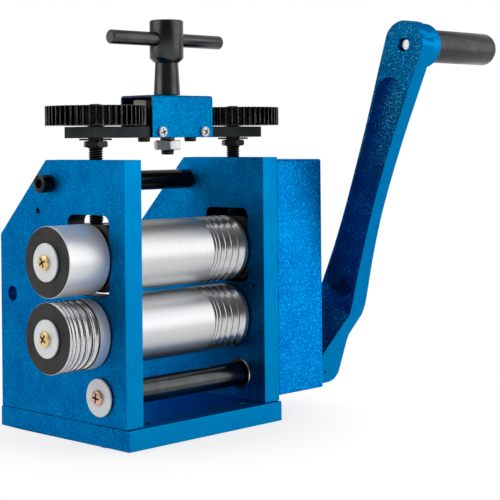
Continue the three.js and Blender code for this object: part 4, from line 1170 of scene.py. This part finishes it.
# The inner faces get the black finish as painted shade: it darkens the inside of the bracket, where
# shade falls.
inner_y, inner_top = inner + 0.1, under + 0.1
repaint(
    bracket, black_oxide_and_shade,
    lambda place, normal: abs(place.y - axis_y) < inner_y and place.z < inner_top,
)
for count, place in enumerate(("front_left", "front_right", "back_left", "back_right")):
    solid = f"{place}_bracket_screw"
    sign = -1 if place.startswith("front") else 1
    centre = centre_mm(solid)
    tip = (centre.x, box_mm(solid)[max(sign, 0)].y, centre.z)
    cross_screw(
        f"plated_{solid}", tip, "Y", sign, (3.4, 1.9), (2, 8), 0.3 + 0.7 * count, washer_white,
        "crosshead", "zinc_plate", solid,
    )

# %% [markdown]
# Hexagons. Nuts and bolt heads are pressed or sawn from hexagon bar, and their corners are turned
# off at 30 degrees. A six sided prism intersected with a spun shape that has coned ends gives
# exactly those curved corners.

# %% Hexagon pieces
OVER = 1  # how far the prism stands out beyond both ends of the crown that trims it
BOLT_FLATS, NUT_FLATS, SPINDLE_NUT_FLATS = 12, 14, 16
BOLT_SHANK = 4
NUT_BORE = 4.95
FLAT_END = 0.47  # the turned end's radius, as a share of the width across flats


def hexagon(name, x, flats, low, high, crown_low=True):
    """A hexagon along Z with turned corners, on the bar's middle line."""
    corner = flats / 2 / math.cos(math.pi / 6)
    turns = [math.pi * at / 3 for at in range(6)]
    places = [(x + corner * math.cos(at), axis_y + corner * math.sin(at)) for at in turns]
    corners = [mm(*place, low - OVER) for place in places]
    piece = extruded(name, corners, mm(0, 0, high - low + 2 * OVER))
    flat_end, beyond = flats * FLAT_END, corner + 0.02
    cone = (corner - flat_end) * math.tan(math.pi / 6)
    profile = [
        (0, low), (flat_end, low) if crown_low else (corner + 0.5, low), (beyond, low + cone),
        (beyond, high - cone), (flat_end, high), (0, high),
    ]
    return carve(piece, lathe("crown", profile, mm(x, axis_y, 0), "Z", 72), operation="INTERSECT")


def hexagon_nut(name, solid, x, flats, body, slot, finish):
    low, high = box_mm(solid)
    nut = hexagon(name, x, flats, low.z, high.z)
    carve(nut, rod("nut_bore", mm(x, axis_y, low.z), "Z", NUT_BORE, 40))
    dress(shade(nut), body, slot, finish, solid)


for side in ("left", "right"):
    low, high = box_mm(f"{side}_idler_bolt")
    x = (low.x + high.x) / 2
    head_low = box_mm(f"{side}_idler_gear")[1].z + 0.3
    shank_top = head_low + 0.4
    bolt = hexagon(f"forged_{side}_idler_bolt", x, BOLT_FLATS, head_low, high.z - 0.8, crown_low=False)
    shank = [
        (0, low.z), (BOLT_SHANK - 0.6, low.z), (BOLT_SHANK, low.z + 0.6), (BOLT_SHANK, shank_top),
        (0, shank_top),
    ]
    carve(bolt, lathe("shank", shank, mm(x, axis_y, 0), "Z", 48), operation="UNION")
    dress(shade(bolt), "crosshead", "zinc_plate", screw_steel, f"{side}_idler_bolt")
    repaint(bolt, black_oxide_and_shade, lambda place, normal: place.z < head_low - 1)

# %% [markdown]
# Gears of the crosshead. The handle's pinion turns two idlers, and each idler turns a large gear
# on a pressure screw, so that both ends of the upper roller move alike. The teeth are involutes
# and have to stay in mesh at every pose, so each gear is a refined copy of its solid, with every
# edge broken. The thin bright lines along the teeth are painted highlights: a lighter second finish
# on those broken edges.

# %% Gears of the crosshead
HIGHLIT_EDGE_WIDTH = 0.12
for solid, body in (
    ("left_side_gear", "left_screw"), ("left_idler_gear", "left_idler"),
    ("right_side_gear", "right_screw"), ("right_idler_gear", "right_idler"),
    ("handle_pinion", "t_handle"),
):
    refined(solid, body, tooth_black, HIGHLIT_EDGE_WIDTH, highlit_tooth_edge)

# %% [markdown]
# Pressure screws. Each is turned with a button at its foot, a long thread and a stub that the
# gear sits on. The thread is a small ridge that winds round the core, made with a Screw modifier
# on a triangle, and it is closed at both ends. The pitch is 1.5 mm, as on the real screw.

# %% Pressure screws
PITCH = 1.5
SCREW = 4.8
BUTTON, BUTTON_NECK, COLLAR, SCREW_STUB = 6.5, 3.8, 5.8, 4
THREAD_DEPTH = 0.85
TURN_STEPS = 28


def add_thread(piece, x, radius, low, high):
    """Winds a ridge up round a piece's core, from low to high, and joins the two."""
    root = radius - THREAD_DEPTH - 0.15
    half = PITCH * 0.44
    corners = (root, low), (radius, low + half), (root, low + 2 * half), (root, low)
    ridge = draw("thread", [mm(out, 0, height) for out, height in corners])
    bpy.ops.mesh.remove_doubles(threshold=SAME_POINT)
    modify(
        ridge, "SCREW", axis="Z", steps=TURN_STEPS, render_steps=TURN_STEPS, screw_offset=PITCH * MM,
        iterations=int((high - low) / PITCH) - 1,
    )
    ridge.location = mm(x, axis_y, 0)
    bpy.ops.object.transform_apply(location=True, rotation=False, scale=False)
    edit_all()
    bpy.ops.mesh.fill_holes(sides=4)
    close_up(ridge, 25)
    take(piece)
    ridge.select_set(True)
    bpy.ops.object.join()


for side in ("left", "right"):
    low, high = box_mm(f"{side}_pressure_screw")
    x = (low.x + high.x) / 2
    collar_low, collar_high = bar_top + 0.3, bar_top + 0.5
    core = SCREW - THREAD_DEPTH
    profile = [
        (0, low.z), (BUTTON - 0.4, low.z), (BUTTON, low.z + 0.4), (BUTTON, low.z + 2),
        (BUTTON - 0.4, low.z + 2.4), (BUTTON_NECK, low.z + 2.4), (BUTTON_NECK, low.z + 5.5),
        (core, low.z + 5.9), (core, bar_low - 7), (SCREW, bar_low - 6.4), (SCREW, collar_low),
        (COLLAR, collar_low), (COLLAR, collar_high), (SCREW_STUB, collar_high),
        (SCREW_STUB, high.z - 0.8), (SCREW_STUB - 0.8, high.z), (0, high.z),
    ]
    screw = lathe(f"turned_{side}_pressure_screw", profile, mm(x, axis_y, 0), "Z", 56)
    add_thread(screw, x, SCREW, low.z + 5.6, bar_low - 5.4)
    dress(screw, f"{side}_screw", "black_steel", thread_black, f"{side}_pressure_screw")

# %% [markdown]
# Lock washers and nuts under the bar. The washer is stamped with five notches round its rim, for
# a tool to hold it, and the nut under it holds the screw in the bar. Both washers stand turned
# differently, as a fitter leaves them.

# %% Lock washers and nuts
WASHER_HOLE, WASHER_RADIUS = 5.1, 10.5
NOTCHES, NOTCH, NOTCH_OUT = 5, 2.4, 11
for side, turn in (("left", 0.6), ("right", -0.5)):
    solid = f"{side}_lock_washer"
    centre = centre_mm(solid)
    washer = ring(f"stamped_{solid}", solid, WASHER_HOLE, WASHER_RADIUS, 0.2, "Z", 40)
    for step in range(NOTCHES):
        angle = turn + step * math.tau / NOTCHES
        out = Vector((math.cos(angle), math.sin(angle), 0)) * NOTCH_OUT
        carve(washer, rod("notch", (centre + out) * MM, "Z", NOTCH, 6, 24))
    dress(shade(washer), f"{side}_screw", "black_steel", black_oxide_and_shade, solid)
    solid = f"{side}_lock_nut"
    x = centre_mm(solid).x
    hexagon_nut(f"sawn_{solid}", solid, x, NUT_FLATS, f"{side}_screw", "black_steel", black_oxide_and_shade)

# %% [markdown]
# T handle. It is turned from one bar: a hub with a cross hole, a stem that widens downwards and a
# threaded spindle that passes the pinion and the bar. A plain rod with chamfered ends is pushed
# through the hub. The hub's lower rim is coned, with a thin shadow line where the stem begins.

# %% T handle
HUB_HEIGHT = 28.1
STEM_TOP, STEM_BOTTOM = 7.7, 8.8
SPINDLE, NECK = 4.8, 6
low, high = box_mm("handle_spindle")
rod_low, rod_high = box_mm("handle_cross_bar")
HUB = (high.x - low.x) / 2
ROD = (rod_high.z - rod_low.z) / 2
rod_height = (rod_low.z + rod_high.z) / 2
hub_low = high.z - HUB_HEIGHT
stem_low = bracket_top + 0.6
gear_top = box_mm("handle_pinion")[1].z
nut_low = box_mm("spindle_nut")[0].z
profile = [
    (0, low.z), (SPINDLE - 1.4, low.z), (SPINDLE - 0.7, low.z + 0.7), (SPINDLE - 0.7, nut_low),
    (SPINDLE, nut_low + 0.3), (SPINDLE, gear_top + 0.3), (NECK, gear_top + 0.3), (NECK, stem_low),
    (STEM_BOTTOM - 0.3, stem_low), (STEM_BOTTOM, stem_low + 0.3), (STEM_TOP, hub_low - 0.4),
    (STEM_TOP - 0.5, hub_low), (HUB - 2.9, hub_low), (HUB - 0.4, hub_low + 2.3), (HUB, hub_low + 3),
    (HUB, high.z - 1.1), (HUB - 0.4, high.z - 0.35), (HUB - 1.1, high.z), (0, high.z),
]
handle = lathe("turned_handle_spindle", profile, mm(0, axis_y, 0), "Z", 128)
carve(handle, rod("cross_hole", mm(0, axis_y, rod_height), "X", ROD + 0.28, 60, 96))
add_thread(shade(handle, 35), 0, SPINDLE - 0.05, low.z + 0.6, nut_low + 2)
dress(handle, "t_handle", "dark_steel", gunmetal, "handle_spindle")
repaint(handle, thread_black, lambda place, normal: place.z < nut_low)
cross_bar = turned_bar(
    "turned_handle_cross_bar", rod_low.x, rod_high.x, ROD, mm(0, axis_y, rod_height),
    (0.9, 0), (0.2, 0.5), (0, 1.1),
)
dress(cross_bar, "t_handle", "dark_steel", gunmetal, "handle_cross_bar")
hexagon_nut(
    "plated_spindle_nut", "spindle_nut", 0, SPINDLE_NUT_FLATS, "t_handle", "ground_steel", nut_steel
)

# %% [markdown]
# Crank arm. It is a casting: a round hub that clamps on the shaft, a cranked neck, a long waisted
# arm with a shallow pocket on its inner side, and a round boss at the top for the grip. The outline
# seen from the side and the profile seen from the front are both pulled to solids, and what they
# share is the arm. It is modelled upright and then leaned to the front, as it stands in the photo.

# %% Crank arm
CRANK_LEAN = 20.6
CRANK_LENGTH = 240
CRANK_HUB = 17.5
CRANK_TOP = 16.5
ARM_WIDTHS = ((50, 16), (86, 13.3), (125, 12), (173, 12.7), (211, 14.6))  # height, half width
# How far each face stands out from its place at the top, at some heights above the shaft
OUTER_FACE = ((42, 5.4), (47, 6.3), (54, 6.3), (70, 5), (92, 3), (120, 1.2), (160, 0.3), (215, 0))
INNER_FACE = ((43, 4.4), (48, 4.2), (92, 3), (140, 1.2), (215, 0))
HUB_IN, HUB_OUT = cover_high.x + 4.2, cover_high.x + 27.2
ARM_IN, ARM_OUT = HUB_IN + 14.5, HUB_IN + 27
ABOVE_ARM, BESIDE_ARM = 260, 25
POCKET_LOW, POCKET_HIGH, POCKET_FLOOR, POCKET_RIM = 46, 221, 4.2, 2
BOSS = 15.4
BOSS_HEIGHT = 10.5
SHAFT_BORE, SHAFT_BORE_LENGTH, STUD_BORE = 8.35, 31.6, 4.8
SET_SCREW, SET_SCREW_BORE, SET_SCREW_IN = 4.02, 4.05, 7.8


def smooth_through(points, steps=5):
    """A soft curve through pairs of a height and a width, with a few steps between neighbours."""
    slopes = []
    for at in range(len(points)):
        below, above = points[max(at - 1, 0)], points[min(at + 1, len(points) - 1)]
        slopes.append((above[1] - below[1]) / (above[0] - below[0]))
    curve = []
    for (low, start), (high, end), leaving, arriving in zip(points, points[1:], slopes, slopes[1:]):
        for step in range(steps):
            share = step / steps
            square, cube = share ** 2, share ** 3
            bend = leaving * (cube - 2 * square + share) + arriving * (cube - square)
            width = start * (2 * cube - 3 * square + 1) + end * (3 * square - 2 * cube)
            curve.append((low + (high - low) * share, width + (high - low) * bend))
    return [*curve, points[-1]]


def upright(x, across, along):
    """A place on the upright crank: out along the shaft, across the arm and up along it."""
    return mm(x, pivot.y + across, pivot.z + along)


def arm_outline(x, side, low_end, high_end):
    """A long outline across X. side is its right edge, and each end is an arc, given by its height,
    radius, first angle, last angle and steps."""
    arcs = [
        arc_points(x, (pivot.y, pivot.z + height), radius, start, end, steps)
        for height, radius, start, end, steps in (low_end, high_end)
    ]
    return [
        *arcs[0], *[upright(x, width, height) for height, width in side],
        *arcs[1], *[upright(x, -width, height) for height, width in reversed(side)],
    ]


def crank_profile(across):
    """The arm seen from the front: hub, neck, outer face up, inner face down."""
    corners = [
        (HUB_IN, -20), (HUB_OUT - 3, -20), (HUB_OUT - 0.8, -16), (HUB_OUT, -10), (HUB_OUT, 24),
        (HUB_OUT + 0.6, 27.5), (HUB_OUT + 3.2, 32),
        *[(ARM_OUT + out, height) for height, out in smooth_through(OUTER_FACE, 4)],
        (ARM_OUT, ABOVE_ARM), (ARM_IN, ABOVE_ARM),
        *[(ARM_IN + out, height) for height, out in reversed(smooth_through(INNER_FACE, 4))],
        (HUB_IN + 2, 18), (HUB_IN, 13),
    ]
    return [upright(x, across, along) for x, along in corners]


def pocket_body():
    """What the pocket takes away. It keeps a constant rim and floor, and its ends are round."""
    side = [(height, width - POCKET_RIM) for height, width in smooth_through(ARM_WIDTHS)]
    end = side[0][1]
    side = [pair for pair in side if POCKET_LOW + end < pair[0] < POCKET_HIGH - end + 1]
    bottom, top = side[0], side[-1]
    outline = arm_outline(ARM_IN - 12, side[1:-1], (*bottom, -180, 0, 18), (*top, 0, 180, 18))
    body = extruded("pocket", outline, mm(ARM_OUT - ARM_IN + 24, 0, 0))
    floor = [
        (ARM_IN - 14, 38), (ARM_OUT + 2, 38),
        *[(ARM_OUT + out - POCKET_FLOOR, height) for height, out in smooth_through(OUTER_FACE, 4)],
        (ARM_OUT - POCKET_FLOOR, CRANK_LENGTH), (ARM_IN - 14, CRANK_LENGTH),
    ]
    floor_cut = extruded("pocket_floor", [upright(x, -30, along) for x, along in floor], mm(0, 60, 0))
    carve(body, floor_cut, operation="INTERSECT")
    return round_edges(body, 5.5, 9, 60)


def lean(piece):
    """Turns a piece to the crank's lean, about the drive shaft."""
    return turn_about(piece, -math.radians(CRANK_LEAN), "X", upright(0, 0, 0))


outline = arm_outline(
    HUB_IN - 1, smooth_through(ARM_WIDTHS), (0, CRANK_HUB, -180, 0, 30),
    (CRANK_LENGTH, CRANK_TOP, 7, 169, 27),
)
arm = extruded("cast_crank_arm", outline, mm(ARM_OUT - HUB_IN + 12, 0, 0))
profile = extruded("profile", crank_profile(-BESIDE_ARM), mm(0, 2 * BESIDE_ARM, 0))
carve(arm, profile, operation="INTERSECT")
carve(arm, pocket_body())
boss_profile = [
    (0, -2), (BOSS, -2), (BOSS, BOSS_HEIGHT - 1.3), (BOSS - 0.4, BOSS_HEIGHT - 0.4),
    (BOSS - 1.3, BOSS_HEIGHT), (0, BOSS_HEIGHT),
]
boss = lathe("boss", boss_profile, upright(ARM_OUT, 0, CRANK_LENGTH), "X", 96)
carve(arm, boss, operation="UNION")
carve(arm, rod("hub_bore", upright(HUB_IN, 0, 0), "X", SHAFT_BORE, SHAFT_BORE_LENGTH, 64))
carve(arm, rod("stud_bore", upright(ARM_IN, 0, CRANK_LENGTH), "X", STUD_BORE, 80, 48))
round_edges(arm, 0.5, 2, 35, 35)
set_screw_place = upright(HUB_IN + SET_SCREW_IN, -CRANK_HUB, 0)
carve(arm, rod("set_screw_bore", set_screw_place, "Y", SET_SCREW_BORE, 2 * CRANK_HUB - 17, 48))
lean(even_faces(shade(arm, 35)))
dress(arm, "drive", "blue_paint", crank_blue, "crank_arm")
repaint(arm, edge_blue, lambda place, normal: abs(normal.x) < 0.55 and place.x > HUB_IN)
print("crank arm from", round(arm.bound_box[0][0] / MM, 1), "solid from", box_mm("crank_arm")[0].x)

# %% [markdown]
# Grip. A moulded handle turns freely on a bright stud that is screwed into the boss. Its mouth and
# its end are rounded, and the stud's head lies sunk in the end. The crank's set screw is a plain
# rod with a small hexagon in it, sunk in the hub and painted over with it.

# %% Grip, stud and set screw
GRIP, GRIP_BORE, GRIP_LENGTH, GRIP_ROUND = 11.5, 4.9, 72, 3
SUNK, SUNK_DEPTH = 8.1, 6
STUD, STUD_HEAD, STUD_HEAD_HEIGHT = 4.4, 7.5, 5
grip_start = ARM_OUT + BOSS_HEIGHT + 0.3
grip_end = grip_start + GRIP_LENGTH
end_radius, end_place = GRIP - GRIP_ROUND, grip_end - GRIP_ROUND
turns = [math.radians(90 * step / 8) for step in range(9)]
quarter = [(GRIP_ROUND * math.cos(at), GRIP_ROUND * math.sin(at)) for at in turns]
grip_profile = [
    (GRIP_BORE, grip_start), (GRIP - 1.2, grip_start), (GRIP - 0.3, grip_start + 0.4),
    (GRIP, grip_start + 1.3),
    *[(end_radius + radius, end_place + along) for radius, along in quarter],
    (SUNK + 0.2, grip_end), (SUNK, grip_end - 0.3), (SUNK, grip_end - SUNK_DEPTH),
    (GRIP_BORE, grip_end - SUNK_DEPTH), (GRIP_BORE, grip_start),
]
grip = lathe("moulded_crank_grip", grip_profile, upright(0, 0, CRANK_LENGTH))
dress(lean(grip), "grip", "grip_plastic", grip_black, "crank_grip")
stud_start = ARM_IN + 3
head_low = grip_end - SUNK_DEPTH + 0.3
head_high = head_low + STUD_HEAD_HEIGHT
stud_profile = [
    (0, stud_start), (STUD - 1, stud_start), (STUD, stud_start + 1), (STUD, head_low),
    (STUD_HEAD, head_low), (STUD_HEAD, head_high - 0.8), (STUD_HEAD - 0.8, head_high), (0, head_high),
]
stud = lathe("plated_grip_stud", stud_profile, upright(0, 0, CRANK_LENGTH), "X", 64)
carve(stud, rod("socket", upright(head_high, 0, CRANK_LENGTH), "X", 3.4, 5, 6))
dress(lean(shade(stud)), "drive", "zinc_plate", zinc, "grip_stud")
set_screw_x = HUB_IN + SET_SCREW_IN
set_screw = rod("sunk_crank_set_screw", upright(set_screw_x, -13.1, 0), "Y", SET_SCREW, 8.5, 48)
carve(set_screw, rod("socket", upright(set_screw_x, -17.3, 0), "Y", 1.4, 1.2, 6))
round_edges(set_screw, 0.15, 2)
dress(lean(set_screw), "drive", "black_steel", edge_blue, "crank_set_screw")

# %% [markdown]
# The two retaining rings stay as they are, because little of them shows. They only need the bright
# finish of the steel that they sit on.

# %% Solids that stay
kept = [name for name, solid in nodes.items() if not solid.hide_render]
for name in kept:
    nodes[name].data.materials.clear()
    nodes[name].data.materials.append(roller_steel)
print("solids that stay:", ", ".join(sorted(kept)))
